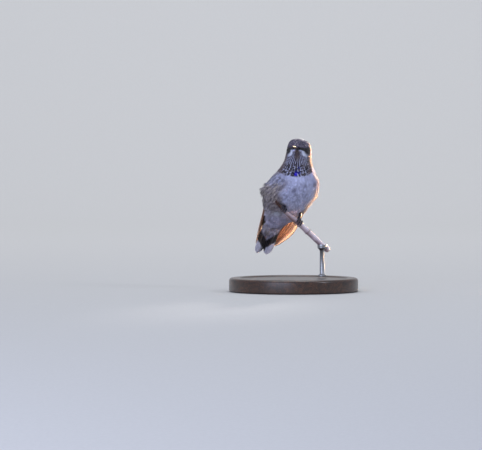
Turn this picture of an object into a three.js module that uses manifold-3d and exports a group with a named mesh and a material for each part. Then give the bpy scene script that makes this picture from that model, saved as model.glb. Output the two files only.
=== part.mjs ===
// A hummingbird at life size, perched on a cut length of dry flower stalk that a plain stand holds up.
// Millimetres, +Z up. The origin is the middle of the stand's underside, and the front of the model is -Y.
import * as THREE from "three";
import { mergeVertices } from "three/addons/utils/BufferGeometryUtils.js";
import Module from "manifold-3d";

const wasm = await Module();
wasm.setup();

const DEG = Math.PI / 180;
const GAP = 0.2; // left between neighbouring pieces
const vec = (x, y, z) => new THREE.Vector3(x, y, z);
const mix = THREE.MathUtils.lerp;

// ---- Stance ---------------------------------------------------------------------------------------------
// The bird's own frame has its left side at +X, its back at +Y, and its origin level with the feet.
const BIRD = { at: vec(-3.6, 3.5, 40), lean: 8.4, heading: 25 };
const HEAD = { at: vec(0.2, -4.4, 33.9), heading: -9.5, lift: 8.5, lean: 1.5 };
// The stalk's frame has its axis at +X, running down to the bird's left, and its top at +Z.
const STALK = { at: vec(-1.35, 0.3, 39), along: vec(0.66, 0.4, -0.589), tip: -14, end: 29.5, bend: 2.6 };
const FEET = { left: 4.9, right: -6.8 };
const STAND = { radius: 34, height: 7, edge: 0.9, rod: 1.2, cup: 2.5, cupHeight: 3.4, under: 24.5 };

const sides = { left: 1, right: -1 };

const root = new THREE.Group();
const stalk = new THREE.Group();
stalk.position.copy(STALK.at);
const stalkX = STALK.along.clone().normalize();
const stalkZ = vec(0, 0, 1).addScaledVector(stalkX, -stalkX.z).normalize();
const stalkY = stalkZ.clone().cross(stalkX);
stalk.quaternion.setFromRotationMatrix(new THREE.Matrix4().makeBasis(stalkX, stalkY, stalkZ));
const bird = new THREE.Group();
bird.position.copy(BIRD.at);
bird.rotation.set(0, BIRD.lean * DEG, BIRD.heading * DEG, "ZYX");
const head = new THREE.Group();
const headTurn = new THREE.Euler(-HEAD.lift * DEG, HEAD.lean * DEG, HEAD.heading * DEG, "ZXY");
head.position.copy(HEAD.at);
head.quaternion.copy(bird.quaternion).invert().multiply(new THREE.Quaternion().setFromEuler(headTurn));
const tail = new THREE.Group();
root.add(stalk, bird);
bird.add(head, tail);
root.updateMatrixWorld(true);

// ---- Solids and meshes ----------------------------------------------------------------------------------
// A closed surface through rings of points, one after another, with a point closing each end.
function lofted(rings) {
  const count = rings[0].length;
  const points = rings.flat();
  for (const ring of [rings[0], rings.at(-1)])
    points.push(ring.reduce((sum, p) => sum.add(p), vec(0, 0, 0)).divideScalar(count));
  const faces = [];
  for (let i = 0; i < count; i++) {
    const j = (i + 1) % count;
    faces.push(points.length - 2, i, j);
    for (let r = 0; r + 1 < rings.length; r++) {
      const [a, b] = [r * count, (r + 1) * count];
      faces.push(a + i, b + i, b + j, a + i, b + j, a + j);
    }
    const last = (rings.length - 1) * count;
    faces.push(points.length - 1, last + j, last + i);
  }
  const made = new THREE.BufferGeometry().setFromPoints(points).setIndex(faces);
  return signedVolume(made) < 0 ? flipped(made) : made;
}

function signedVolume(geometry) {
  const at = geometry.getAttribute("position");
  const corner = (i) => vec(0, 0, 0).fromBufferAttribute(at, geometry.index.getX(i));
  let six = 0;
  for (let i = 0; i < geometry.index.count; i += 3)
    six += corner(i).dot(corner(i + 1).cross(corner(i + 2)));
  return six / 6;
}

function flipped(geometry) {
  return geometry.setIndex([...geometry.index.array].reverse());
}

// A geometry as a solid to cut or join, moved from one group's frame into another's.
function solid(geometry, from = root, to = from) {
  const bare = geometry.clone();
  bare.deleteAttribute("normal");
  bare.deleteAttribute("uv");
  bare.applyMatrix4(to.matrixWorld.clone().invert().multiply(from.matrixWorld));
  const merged = mergeVertices(bare, 1e-4);
  const mesh = { numProp: 3, vertProperties: merged.attributes.position.array };
  return new wasm.Manifold(new wasm.Mesh({ ...mesh, triVerts: new Uint32Array(merged.index.array) }));
}

function geometryOf(made) {
  const { vertProperties, triVerts } = made.getMesh();
  const geometry = new THREE.BufferGeometry();
  geometry.setAttribute("position", new THREE.BufferAttribute(vertProperties, 3));
  geometry.setIndex(new THREE.BufferAttribute(triVerts, 1));
  geometry.computeVertexNormals();
  return geometry;
}

// The largest piece of a solid, without the slivers that a cut can leave beside it.
function largest(made) {
  return made.decompose().reduce((best, piece) => (piece.volume() > best.volume() ? piece : best));
}

function add(group, name, made, material) {
  const geometry = made instanceof THREE.BufferGeometry ? made : geometryOf(largest(made));
  const mesh = new THREE.Mesh(geometry, material);
  mesh.name = name;
  group.add(mesh);
}

function finish(color, roughness, metalness = 0) {
  return new THREE.MeshStandardMaterial({ color, roughness, metalness });
}

// ---- Sections and sweeps --------------------------------------------------------------------------------
// A smooth curve of named numbers: the rows give them in order, and the result gives them at any share
// of the way.
function blend(rows, keys) {
  const triples = [];
  for (let k = 0; k < keys.length; k += 3) {
    const points = rows.map((row) => vec(...[0, 1, 2].map((i) => row[keys[k + i]] ?? 0)));
    triples.push(new THREE.CatmullRomCurve3(points, false, "catmullrom", 0.5));
  }
  return (t) => {
    const values = triples.flatMap((curve) => curve.getPoint(t).toArray());
    return Object.fromEntries(keys.map((key, i) => [key, values[i]]));
  };
}

// A round tube along a curve, whose radius follows the share of the way.
function tube(curve, radius, { steps = 12, count = 8 } = {}) {
  const frames = curve.computeFrenetFrames(steps, false);
  const rings = frames.normals.map((normal, i) => {
    const [middle, r] = [curve.getPointAt(i / steps), radius(i / steps)];
    return Array.from({ length: count }, (_, k) => {
      const angle = (2 * Math.PI * k) / count;
      const around = normal.clone().multiplyScalar(Math.cos(angle));
      return around.addScaledVector(frames.binormals[i], Math.sin(angle)).multiplyScalar(r).add(middle);
    });
  });
  return lofted(rings);
}

// A thin blade between two edge curves. It is thickest in the middle of its width and bows out by a camber.
function blade({ lead, trail, outward, thickness, camber, steps, across = 5, ...rest }) {
  const { from = 0, to = 1, grow = 0, lift = 0 } = rest;
  const rings = Array.from({ length: steps + 1 }, (_, i) => {
    const s = mix(from, to, i / steps);
    const [a, b] = [lead(s), trail(s)];
    const wide = b.clone().sub(a);
    const edge = wide.clone().normalize();
    const out = outward(s).addScaledVector(edge, -outward(s).dot(edge)).normalize();
    const point = (u, side) => {
      const belly = 4 * u * (1 - u);
      const half = (thickness(s) / 2) * (0.45 + 0.55 * belly) + grow;
      return a
        .clone()
        .addScaledVector(wide, u)
        .addScaledVector(edge, (2 * u - 1) * grow)
        .addScaledVector(out, camber(s) * belly + lift + side * half);
    };
    const shares = Array.from({ length: across }, (_, k) => k / (across - 1));
    return [...shares.map((u) => point(u, 1)), ...shares.reverse().map((u) => point(u, -1))];
  });
  return lofted(rings);
}

// ---- Body: one plump form from crown to tail root -------------------------------------------------------
// Each level is a slice: its height, how far its middle lies ahead of the origin, half its width, its reach
// ahead and behind of the middle, how much its front narrows to a point, its turn against the breast in
// degrees, because the head looks to one side, and how far its middle lies to the left. Numbers left
// out are 0.
const LEVELS = [
  { name: "crown", up: 40.8, ahead: 4, half: 0.01, front: 0.01, back: 0.01, turn: -34 },
  { name: "cap", up: 40, ahead: 4, half: 3.8, front: 3.5, back: 4.1, point: 0.1, turn: -34 },
  { name: "brow", up: 38, ahead: 4.2, half: 6, front: 5.9, back: 6.3, point: 0.25, turn: -34 },
  { name: "eye", up: 34.5, ahead: 4.4, half: 6.7, front: 7.7, back: 7.2, point: 0.35, turn: -34 },
  { name: "cheek", up: 31, ahead: 4.5, half: 7.1, front: 7, back: 7.4, point: 0.25, turn: -32, aside: 0.2 },
  { name: "throat", up: 27.5, ahead: 4.4, half: 8, front: 8, back: 8.2, point: 0.05, turn: -24, aside: 0.6 },
  { name: "collar", up: 23, ahead: 3.7, half: 10.4, front: 9.5, back: 9.7, turn: -12, aside: 1.1 },
  { name: "shoulder", up: 18.5, ahead: 2.5, half: 13.4, front: 11.2, back: 11.6, turn: -4, aside: 1.2 },
  { name: "breast", up: 12, ahead: 0.3, half: 15.2, front: 11.9, back: 12.6, turn: 0 },
  { name: "belly", up: 6.4, ahead: -1.2, half: 13, front: 10, back: 12.1, turn: 0, aside: -0.4 },
  { name: "lap", up: 1.4, ahead: -4, half: 10.9, front: 6.4, back: 9.9, turn: 0, aside: 0.4 },
  { name: "vent", up: -2.4, ahead: -8.2, half: 7.8, front: 4.6, back: 6.7, turn: 0, aside: 0.3 },
  { name: "coverts", up: -5.2, ahead: -11.5, half: 5.6, front: 3.6, back: 4.5, turn: 0 },
  { name: "root", up: -7.4, ahead: -14, half: 3.8, front: 2.6, back: 2.8, turn: 0 },
  { name: "end", up: -8.1, ahead: -14.9, half: 0.01, front: 0.01, back: 0.01, turn: 0 },
];
const BODY = { rings: 30, sides: 24 };
// Where the body is parted: levels on its axis, tilted to lie square to it.
const LIMITS = {
  top: { level: 60, tilt: 0 },
  nape: { level: 29.6, tilt: -14 },
  collar: { level: 20.5, tilt: -14 },
  hips: { level: 1.4, tilt: 20 },
  bottom: { level: -30, tilt: 0 },
};
const sliceAt = blend(LEVELS, ["up", "ahead", "half", "front", "back", "point", "turn", "aside"]);

function bodyRing(t) {
  const slice = sliceAt(t);
  return Array.from({ length: BODY.sides }, (_, i) => {
    const angle = (2 * Math.PI * i) / BODY.sides;
    const facing = Math.max(0, Math.cos(angle));
    const wide = slice.half * Math.sin(angle) * (1 - slice.point * facing ** 2);
    const around = vec(wide, -(facing > 0 ? slice.front : slice.back) * Math.cos(angle), 0);
    const middle = vec(slice.aside, -slice.ahead, slice.up);
    return around.applyAxisAngle(vec(0, 0, 1), slice.turn * DEG).add(middle);
  });
}

function wholeBody() {
  const start = 0.004; // just off the poles, so that the end rings keep some width
  const steps = BODY.rings - 1;
  return lofted(Array.from({ length: BODY.rings }, (_, i) => bodyRing(mix(start, 1 - start, i / steps))));
}

// ---- Wings: folded along the flanks, tips beside the tail -----------------------------------------------
// Edges of the left wing in the bird's frame, from the wrist to the tip; the right wing is its mirror image,
// and each stands off the body by its own share.
const WING = {
  lead: [
    vec(7.8, 0.6, 22.4),
    vec(14.4, 3.6, 11.4),
    vec(12.5, 7.6, 1.6),
    vec(11.2, 12.9, -8.8),
    vec(6.2, 22.4, -16.4),
  ],
  trail: [
    vec(5.6, 5.4, 22.2),
    vec(7.2, 10.4, 12),
    vec(5.2, 13.6, 3),
    vec(4.4, 19, -7),
    vec(5.6, 22.7, -16.2),
  ],
  spread: { left: 1.05, right: 0.87 },
  coverts: { from: 0, to: 0.4, thick: 2.2, thin: 1.5 },
  flight: { from: 0.415, to: 1, thick: 1.1, thin: 0.7 },
  camber: 1,
  split: 0.5, // the share of the width where the secondaries take over from the primaries
  shortest: 0.7, // where the longest secondary ends
};

function wingEdges(name) {
  const out = sides[name] * WING.spread[name];
  const [lead, trail] = [WING.lead, WING.trail].map(
    (points) => new THREE.CatmullRomCurve3(points.map((p) => vec(out * p.x, p.y, p.z))),
  );
  return { lead: (s) => lead.getPoint(s), trail: (s) => trail.getPoint(s) };
}

function wingBlade(name, { from, to, thick, thin }, more = {}) {
  return blade({
    ...wingEdges(name),
    outward: (s) => vec(sides[name] * mix(1, 0.3, s), mix(0.6, 0.9, s), 0.2),
    thickness: (s) => mix(thick, thin, (s - from) / (to - from)),
    camber: (s) => WING.camber * (1 - s),
    steps: 10,
    from,
    to,
    ...more,
  });
}

// The primaries fill the outer share of the folded wing, and all of it past the end of the secondaries.
function flightPart(name, outer) {
  const { lead, trail } = wingEdges(name);
  const { flight, split, shortest } = WING;
  const border = (shift) => (s) => {
    const share = mix(split, 1, THREE.MathUtils.smoothstep(s, shortest - 0.16, shortest));
    const wide = trail(s).sub(lead(s));
    return lead(s).addScaledVector(wide, share).addScaledVector(wide.normalize(), shift);
  };
  if (outer) return wingBlade(name, flight, { trail: border(-GAP / 2), steps: 16 });
  return wingBlade(name, { ...flight, to: shortest - 0.015 }, { lead: border(GAP / 2), steps: 8 });
}

// ---- Tail: four feathers to a side, under a shorter middle pair -----------------------------------------
const TAIL = {
  root: vec(-0.8, 13.2, -2.4),
  tip: vec(-0.9, 22.9, -21.2),
  thickness: 0.6,
  feather: { root: 0.8, half: 1.95, tip: 1.45 },
  outer: [
    { aside: 3.4, short: 0.7 },
    { aside: 2.6, short: 0 },
    { aside: 1.8, short: 0.1 },
    { aside: 1.1, short: 1.5 },
  ],
  middle: [{ aside: 0.9, short: 3.4 }],
};
const tailLength = TAIL.tip.distanceTo(TAIL.root);
const tailY = TAIL.tip.clone().sub(TAIL.root).normalize();
const tailX = vec(1, 0, 0).addScaledVector(tailY, -tailY.x).normalize();
tail.position.copy(TAIL.root);
const tailZ = tailX.clone().cross(tailY);
tail.quaternion.setFromRotationMatrix(new THREE.Matrix4().makeBasis(tailX, tailY, tailZ));
root.updateMatrixWorld(true);

// One feather's outline in the tail's own plane: x across, y from the root towards the tip.
function featherOutline(aside, length) {
  const { root: narrow, half, tip } = TAIL.feather;
  const shape = new THREE.Shape();
  shape.moveTo(aside - narrow, 0);
  shape.lineTo(aside + narrow, 0);
  shape.bezierCurveTo(aside + half, length * 0.3, aside + half, length * 0.75, aside + tip, length - tip);
  shape.bezierCurveTo(aside + tip * 0.9, length - 0.3, aside + 0.5, length, aside, length);
  shape.bezierCurveTo(aside - 0.5, length, aside - tip * 0.9, length - 0.3, aside - tip, length - tip);
  shape.bezierCurveTo(aside - half, length * 0.75, aside - half, length * 0.3, aside - narrow, 0);
  return shape;
}

// The feathers of one side, joined into a blade. The group's +Z points to the back's side.
function tailBlade(side, feathers, level) {
  const blades = feathers.map(({ aside, short }) => {
    const outline = featherOutline(side * aside, tailLength - short);
    const flat = { depth: TAIL.thickness, bevelEnabled: false, curveSegments: 5 };
    return solid(new THREE.ExtrudeGeometry(outline, flat).translate(0, 0, level), tail);
  });
  return blades.reduce((joined, each) => joined.add(each));
}

// ---- Bill: two slender halves, a little curved ----------------------------------------------------------
// In the head's frame, pointing to -Y.
const BILL = { base: 5.2, length: 20, drop: 0.9, width: 1.05, upper: 0.95, lower: 0.75, tip: 0.22, level: 0 };

function billHalf(top, steps = 12, count = 7) {
  const rings = Array.from({ length: steps + 1 }, (_, i) => {
    const s = i / steps;
    const middle = vec(0, -BILL.base - BILL.length * s, BILL.level - BILL.drop * s * s);
    const taper = Math.max(BILL.tip, mix(1, BILL.tip, Math.min(1, 1.05 * s ** 0.8))) * (1 - 0.55 * s ** 12);
    const height = (top ? BILL.upper : BILL.lower) * taper;
    const half = BILL.width * taper;
    return Array.from({ length: count }, (_, k) => {
      const angle = (Math.PI * k) / (count - 1);
      const z = (top ? 1 : -1) * (height * Math.sin(angle) + GAP / 2);
      return middle.clone().add(vec(half * Math.cos(angle), 0, z));
    });
  });
  return lofted(rings);
}

// ---- Eyes -----------------------------------------------------------------------------------------------
const EYE = { radius: 1.7, apart: 4.63, ahead: 2.6, level: -0.1, socket: 2.3, dish: 1.8, looks: 30 };

function eyeball(side, grow = 0) {
  const ball = new THREE.SphereGeometry(EYE.radius + grow, 14, 9);
  return ball.translate(side * EYE.apart, -EYE.ahead, EYE.level);
}

// A shallow dish in the side of the face, which leaves the front of the eyeball free where it looks out.
function eyeSocket(side) {
  const ball = new THREE.SphereGeometry(EYE.socket, 12, 8);
  const [aside, forward] = [Math.cos(EYE.looks * DEG), Math.sin(EYE.looks * DEG)];
  const [x, y] = [EYE.apart + EYE.dish * aside, EYE.ahead + EYE.dish * forward];
  return ball.translate(side * x, -y, EYE.level);
}

// ---- Stalk: a dry flower stalk, cut at one end and broken to a thin tip at the other --------------------
const THICK = { tip: 0.5, foot: 1.45, joints: [12.5, 27] };

function stalkRadius(x) {
  const share = THREE.MathUtils.clamp((x - STALK.tip) / (FEET.left - STALK.tip), 0, 1);
  const swell = THICK.joints.reduce((sum, joint) => sum + 0.2 * Math.exp(-(((x - joint) / 1.3) ** 2)), 0);
  return mix(THICK.tip, THICK.foot, share ** 1.2) + swell;
}

// The stalk sways a little, and its thin end bends to the front.
function stalkMiddle(x) {
  const bend = x < 0 ? STALK.bend * (x / STALK.tip) ** 2 : 0;
  return vec(x, -bend, 0.18 * Math.sin(x / 5.5));
}

function stalkLoft(grow = 0) {
  const [steps, count] = [24, 10];
  return lofted(
    Array.from({ length: steps + 1 }, (_, i) => {
      const x = mix(STALK.tip - grow, STALK.end + grow, i / steps);
      const r = stalkRadius(x) + grow;
      return Array.from({ length: count }, (_, k) => {
        const angle = (2 * Math.PI * (k + 0.5)) / count;
        return stalkMiddle(x).add(vec(0, r * Math.cos(angle), r * Math.sin(angle)));
      });
    }),
  );
}

// ---- Feet: three toes over the stalk, one behind, each with a curved claw -------------------------------
const TOE = { radius: 0.5, claw: 0.32, spread: 1.22, start: 34 };
const TOES = [
  { name: "inner", side: -1, wrap: 118, claw: 52 },
  { name: "middle", side: 0, wrap: 140, claw: 52 },
  { name: "outer", side: 1, wrap: 122, claw: 52 },
  { name: "hind", side: 0, wrap: -95, claw: -55 },
];
const LEG = { radius: 0.62, ankle: 2.3, knob: 1.1, behind: -12, room: 2.5 };

// A point round the stalk: the angle is 0 on top and grows over the front.
function roundStalk(x, angle, off) {
  const r = stalkRadius(x) + off;
  return stalkMiddle(x).add(vec(0, -r * Math.sin(angle * DEG), r * Math.cos(angle * DEG)));
}

function roundPath(foot, toe, from, to, off) {
  const points = Array.from({ length: 6 }, (_, i) => {
    const angle = mix(from, to, i / 5);
    const splay = toe.side * TOE.spread * (1 + 0.12 * Math.abs(angle) / 90);
    return roundStalk(foot + splay, angle, off(i / 5));
  });
  return new THREE.CatmullRomCurve3(points);
}

function toeTube(foot, toe) {
  const path = roundPath(foot, toe, Math.sign(toe.wrap) * TOE.start, toe.wrap, () => TOE.radius + GAP);
  return tube(path, (s) => TOE.radius * (1 - 0.12 * s), { steps: 7, count: 6 });
}

function clawTube(foot, toe) {
  const start = toe.wrap + Math.sign(toe.wrap) * 8;
  const arch = (s) => TOE.claw + GAP + 0.12 * Math.sin(Math.PI * s);
  const path = roundPath(foot, toe, start, toe.wrap + toe.claw, arch);
  return tube(path, (s) => TOE.claw * (1 - 0.75 * s), { steps: 4, count: 5 });
}

// The shank comes down out of the belly to a knob on top of the stalk, where the toes start.
function legTube(foot, grow = 0) {
  const sole = roundStalk(foot, LEG.behind, LEG.knob * 0.62 + GAP);
  const inwards = -Math.sign(foot);
  const ankle = sole.clone().add(vec(0.3 * inwards, 0.9, LEG.ankle));
  const knee = ankle.clone().add(vec(0.4 * inwards, 1.2, 2));
  const path = new THREE.CatmullRomCurve3([sole, ankle, knee]);
  const swell = (s) => LEG.radius + (LEG.knob - LEG.radius) * Math.exp(-((s / 0.16) ** 2)) + 0.35 * s * s;
  return tube(path, (s) => swell(s) + grow, { steps: 7, count: 8 });
}

// The room that the feathers leave round a foot.
function footRoom(foot) {
  const around = new THREE.CylinderGeometry(LEG.room, LEG.room, 4.4, 14);
  return around.rotateZ(Math.PI / 2).translate(foot, stalkMiddle(foot).y, stalkMiddle(foot).z);
}

// ---- Stand ----------------------------------------------------------------------------------------------
function standBase() {
  const { radius, height, edge } = STAND;
  const profile = new THREE.Path();
  profile.moveTo(0, 0);
  profile.lineTo(radius - edge / 2, 0);
  profile.lineTo(radius, edge / 2);
  profile.lineTo(radius, height - edge);
  profile.lineTo(radius - edge, height);
  profile.lineTo(0, height);
  return new THREE.LatheGeometry(profile.getPoints(), 48).rotateX(Math.PI / 2);
}

function standRod() {
  const top = stalk.localToWorld(vec(STAND.under, 0, 0));
  const { rod, cup, cupHeight, height } = STAND;
  const reach = top.z - height - GAP;
  const profile = [
    [0, 0],
    [rod * 1.9, 0],
    [rod * 1.9, 0.7],
    [rod, 1.5],
    [rod, reach - cupHeight],
    [cup, reach - cupHeight * 0.55],
    [cup, reach],
    [0, reach],
  ].map(([r, z]) => new THREE.Vector2(r, z));
  const turned = new THREE.LatheGeometry(profile, 20).rotateX(Math.PI / 2);
  return turned.translate(top.x, top.y, height + GAP);
}

// ---- Materials ------------------------------------------------------------------------------------------
const plumageDark = finish(0x5b5a63, 0.85);
const plumagePale = finish(0xa9aab8, 0.9);
const flank = finish(0x85808a, 0.9);
const flight = finish(0x4a4046, 0.6);
const horn = finish(0x17161a, 0.3);
const eyeBlack = finish(0x0c0a0a, 0.08);
const scaled = finish(0x2a2730, 0.55);
const dryStalk = finish(0xb59c94, 0.75);
const stained = finish(0x3a2a22, 0.45);
const steel = finish(0x8f9296, 0.3, 1);

// ---- Assembly -------------------------------------------------------------------------------------------
const grown = (group, geometry) => solid(geometry, group, bird);

const reach = 80; // wider than the whole bird, for the solids that only limit others

// The room between two levels of the bird's frame, each tilted to lie square to the neck or the hips.
function between(low, high) {
  const half = ({ level, tilt }, up) => {
    const box = new THREE.BoxGeometry(2 * reach, 2 * reach, 2 * reach);
    box.translate(0, 0, up * (reach + GAP / 2)).rotateX(tilt * DEG);
    return solid(box.translate(0, 0, level), bird);
  };
  return half(low, 1).intersect(half(high, -1));
}

let body = solid(wholeBody(), bird);
for (const name of Object.keys(sides)) {
  body = body.subtract(grown(head, eyeball(sides[name], GAP))).subtract(grown(head, eyeSocket(sides[name])));
  for (const part of [WING.coverts, WING.flight])
    for (const lift of [0, WING.coverts.thin])
      body = body.subtract(solid(wingBlade(name, part, { grow: 1.5 * GAP, lift, steps: 7 }), bird));
  const foot = FEET[name];
  body = body.subtract(grown(stalk, legTube(foot, GAP))).subtract(grown(stalk, footRoom(foot)));
}
const billRoom = new THREE.SphereGeometry(1.35, 12, 8).scale(1, 2.2, 0.95);
billRoom.translate(0, -BILL.base - 0.4, BILL.level);
body = body.subtract(grown(head, billRoom)).subtract(grown(stalk, stalkLoft(GAP)));
const tailRoom = new THREE.BoxGeometry(12, tailLength, 2 * TAIL.thickness + 3 * GAP);
body = body.subtract(grown(tail, tailRoom.translate(0, tailLength / 2 - GAP, 0)));

const { top, nape, hips, bottom } = LIMITS;
add(bird, "head", body.intersect(between(nape, top)), plumageDark);
add(bird, "neck", body.intersect(between(LIMITS.collar, nape)), plumagePale);
add(bird, "trunk", body.intersect(between(hips, LIMITS.collar)), flank);
add(bird, "rump", body.intersect(between(bottom, hips)), plumagePale);

for (const [name, side] of Object.entries(sides)) {
  add(head, `eye_${name}`, eyeball(side), eyeBlack);
  add(bird, `wing_${name}_coverts`, wingBlade(name, WING.coverts), plumageDark);
  add(bird, `wing_${name}_primaries`, flightPart(name, true), flight);
  add(bird, `wing_${name}_secondaries`, flightPart(name, false), flight);
  const own = new THREE.BoxGeometry(reach, reach, reach).translate(side * (reach / 2 + GAP / 2), 0, 0);
  const outer = tailBlade(side, TAIL.outer, -TAIL.thickness - GAP / 2);
  add(tail, `tail_${name}`, outer.intersect(solid(own, tail)), flight);
}
const pair = Object.values(sides).map((side) => tailBlade(side, TAIL.middle, GAP / 2));
add(tail, "tail_middle", pair[0].add(pair[1]), flight);
add(head, "bill_upper", billHalf(true), horn);
add(head, "bill_lower", billHalf(false), horn);

add(stalk, "perch_stalk", stalkLoft(), dryStalk);
for (const [name, foot] of Object.entries(FEET)) {
  add(stalk, `leg_${name}`, legTube(foot), scaled);
  for (const toe of TOES) {
    const clear = solid(toeTube(foot, toe), stalk).subtract(solid(legTube(foot, GAP), stalk));
    add(stalk, `toe_${name}_${toe.name}`, clear, scaled);
    add(stalk, `claw_${name}_${toe.name}`, clawTube(foot, toe), horn);
  }
}

add(root, "stand_base", standBase(), stained);
add(root, "stand_rod", solid(standRod()).subtract(solid(stalkLoft(GAP), stalk, root)), steel);

export default root;
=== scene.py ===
import math

import bmesh
import bpy
import numpy as np
from mathutils import Matrix, Vector, kdtree
from mathutils.bvhtree import BVHTree


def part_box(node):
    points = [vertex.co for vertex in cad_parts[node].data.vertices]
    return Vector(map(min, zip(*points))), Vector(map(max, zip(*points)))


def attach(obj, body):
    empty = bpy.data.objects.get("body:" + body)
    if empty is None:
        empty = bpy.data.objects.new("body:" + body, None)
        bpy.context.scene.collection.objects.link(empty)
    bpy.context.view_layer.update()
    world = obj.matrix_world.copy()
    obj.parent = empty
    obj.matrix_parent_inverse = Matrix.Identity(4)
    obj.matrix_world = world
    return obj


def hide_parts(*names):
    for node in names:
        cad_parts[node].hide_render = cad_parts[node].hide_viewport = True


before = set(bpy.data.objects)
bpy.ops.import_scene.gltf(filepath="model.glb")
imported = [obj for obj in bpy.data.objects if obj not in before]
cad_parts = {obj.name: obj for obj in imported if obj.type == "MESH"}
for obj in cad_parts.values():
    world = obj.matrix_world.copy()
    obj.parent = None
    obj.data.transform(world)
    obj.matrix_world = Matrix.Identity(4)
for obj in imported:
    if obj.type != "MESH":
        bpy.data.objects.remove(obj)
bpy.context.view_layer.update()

MM = 0.001

# ---- Stand base ----------------------------------------------------------------------------------
# A turned disc of stained hardwood, 68 mm across, that carries the whole model. Its top is turned with a
# shallow step and a rounded rim, then stained dark, sealed and rubbed down to a satin lacquer.


def linear(hex_colour):
    """The linear colour of an sRGB hex value, with an alpha of 1."""
    parts = [(hex_colour >> shift & 255) / 255 for shift in (16, 8, 0)]
    return (*(c / 12.92 if c <= 0.04045 else ((c + 0.055) / 1.055) ** 2.4 for c in parts), 1)


def add(material, kind, settings=None, **links):
    """Adds a node to a material: settings go to properties or sockets, and links name the sockets to feed."""
    node = material.node_tree.nodes.new(kind)
    for name, value in (settings or {}).items():
        if isinstance(name, int) or name in node.inputs:
            node.inputs[name].default_value = value
        else:
            setattr(node, name, value)
    for name, source in links.items():
        key = int(name[2:]) if name.startswith("in") else name.replace("_", " ")
        socket = node.inputs[key]
        material.node_tree.links.new(source, socket)
    return node


def new_material(name):
    """An empty material: its nodes are added one by one, and the last is wired to its output."""
    made = bpy.data.materials.new(name)
    made.use_nodes = True
    made.node_tree.nodes.clear()
    return made


def show(material, shader):
    """Wires a material's last shader to its output."""
    output = material.node_tree.nodes.new("ShaderNodeOutputMaterial")
    material.node_tree.links.new(shader, output.inputs["Surface"])


def ramp(material, factor, *stops):
    """A colour ramp through stops of (place, sRGB hex)."""
    node = add(material, "ShaderNodeValToRGB", Fac=factor)
    elements = node.color_ramp.elements
    while len(elements) < len(stops):
        elements.new(0.5)
    for element, (place, colour) in zip(elements, stops):
        element.position = place
        element.color = linear(colour)
    return node.outputs["Color"]


def pick(piece):
    """Makes one piece the active and the only selected one."""
    bpy.ops.object.select_all(action="DESELECT")
    bpy.context.view_layer.objects.active = piece
    piece.select_set(True)


def edit(piece, action):
    """Runs edit-mode operators on one piece alone."""
    pick(piece)
    bpy.ops.object.mode_set(mode="EDIT")
    action()
    bpy.ops.object.mode_set(mode="OBJECT")


def apply_modifier(piece, kind, **settings):
    """Adds one modifier to a piece and applies it at once."""
    pick(piece)
    modifier = piece.modifiers.new(kind.title(), kind)
    for name, value in settings.items():
        setattr(modifier, name, value)
    bpy.ops.object.modifier_apply(modifier=modifier.name)


def fix(piece, material, slot, *nodes, smooth=35):
    """Finishes a piece: its place goes into its mesh, it gets its finish, and the CAD nodes that it stands
    for are hidden.
    """
    pick(piece)
    bpy.ops.object.transform_apply(location=True, rotation=True, scale=True)
    if smooth:
        bpy.ops.object.shade_smooth_by_angle(angle=math.radians(smooth))
    piece.data.materials.clear()
    piece.data.materials.append(material)
    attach(piece, "root")
    if nodes:
        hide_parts(*nodes)


def select_faces(wanted):
    """In edit mode, selects the faces that wanted(face) accepts."""
    bpy.ops.mesh.select_all(action="DESELECT")
    bpy.ops.mesh.select_mode(type="FACE")
    form = bmesh.from_edit_mesh(bpy.context.edit_object.data)
    for face in form.faces:
        face.select = bool(wanted(face))
    form.select_flush_mode()
    bmesh.update_edit_mesh(bpy.context.edit_object.data)


base_low, base_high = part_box("stand_base")
BASE = {
    "step_in": 5.2 * MM, "step_down": 0.7 * MM, "step_wide": 0.9 * MM, "rim": 1.6 * MM, "foot": 0.5 * MM
}
base_radius = (base_high.x - base_low.x) / 2
base_height = base_high.z - base_low.z
bpy.ops.object.select_all(action="DESELECT")
bpy.ops.mesh.primitive_cylinder_add(
    vertices=128, radius=base_radius, depth=base_height, location=(base_low + base_high) / 2
)
stand_base = bpy.context.object
stand_base.name = "stand_base_wood"


def turn_top():
    """Turns a shallow step into the top: down, then level to the middle."""
    select_faces(lambda face: face.normal.z > 0.9)
    bpy.ops.mesh.inset(thickness=BASE["step_in"], depth=0)
    bpy.ops.mesh.inset(thickness=BASE["step_wide"], depth=-BASE["step_down"])
    bpy.ops.mesh.inset(thickness=base_radius * 0.25, depth=0)
    bpy.ops.mesh.inset(thickness=base_radius * 0.25, depth=0)


edit(stand_base, turn_top)
edges = bmesh.new()
edges.from_mesh(stand_base.data)
weights = edges.edges.layers.float.new("bevel_weight_edge")
for edge in edges.edges:
    rim = all(abs(Vector(v.co.xy).length - base_radius) < 1e-5 for v in edge.verts)
    level = abs(edge.verts[0].co.z - edge.verts[1].co.z) < 1e-6
    if rim and level:
        edge[weights] = 1 if edge.verts[0].co.z > 0 else BASE["foot"] / BASE["rim"]
edges.to_mesh(stand_base.data)
edges.free()
apply_modifier(stand_base, "BEVEL", limit_method="WEIGHT", width=BASE["rim"], segments=6)
apply_modifier(
    stand_base, "BEVEL", limit_method="ANGLE", angle_limit=math.radians(30), width=0.25 * MM, segments=2
)

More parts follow.
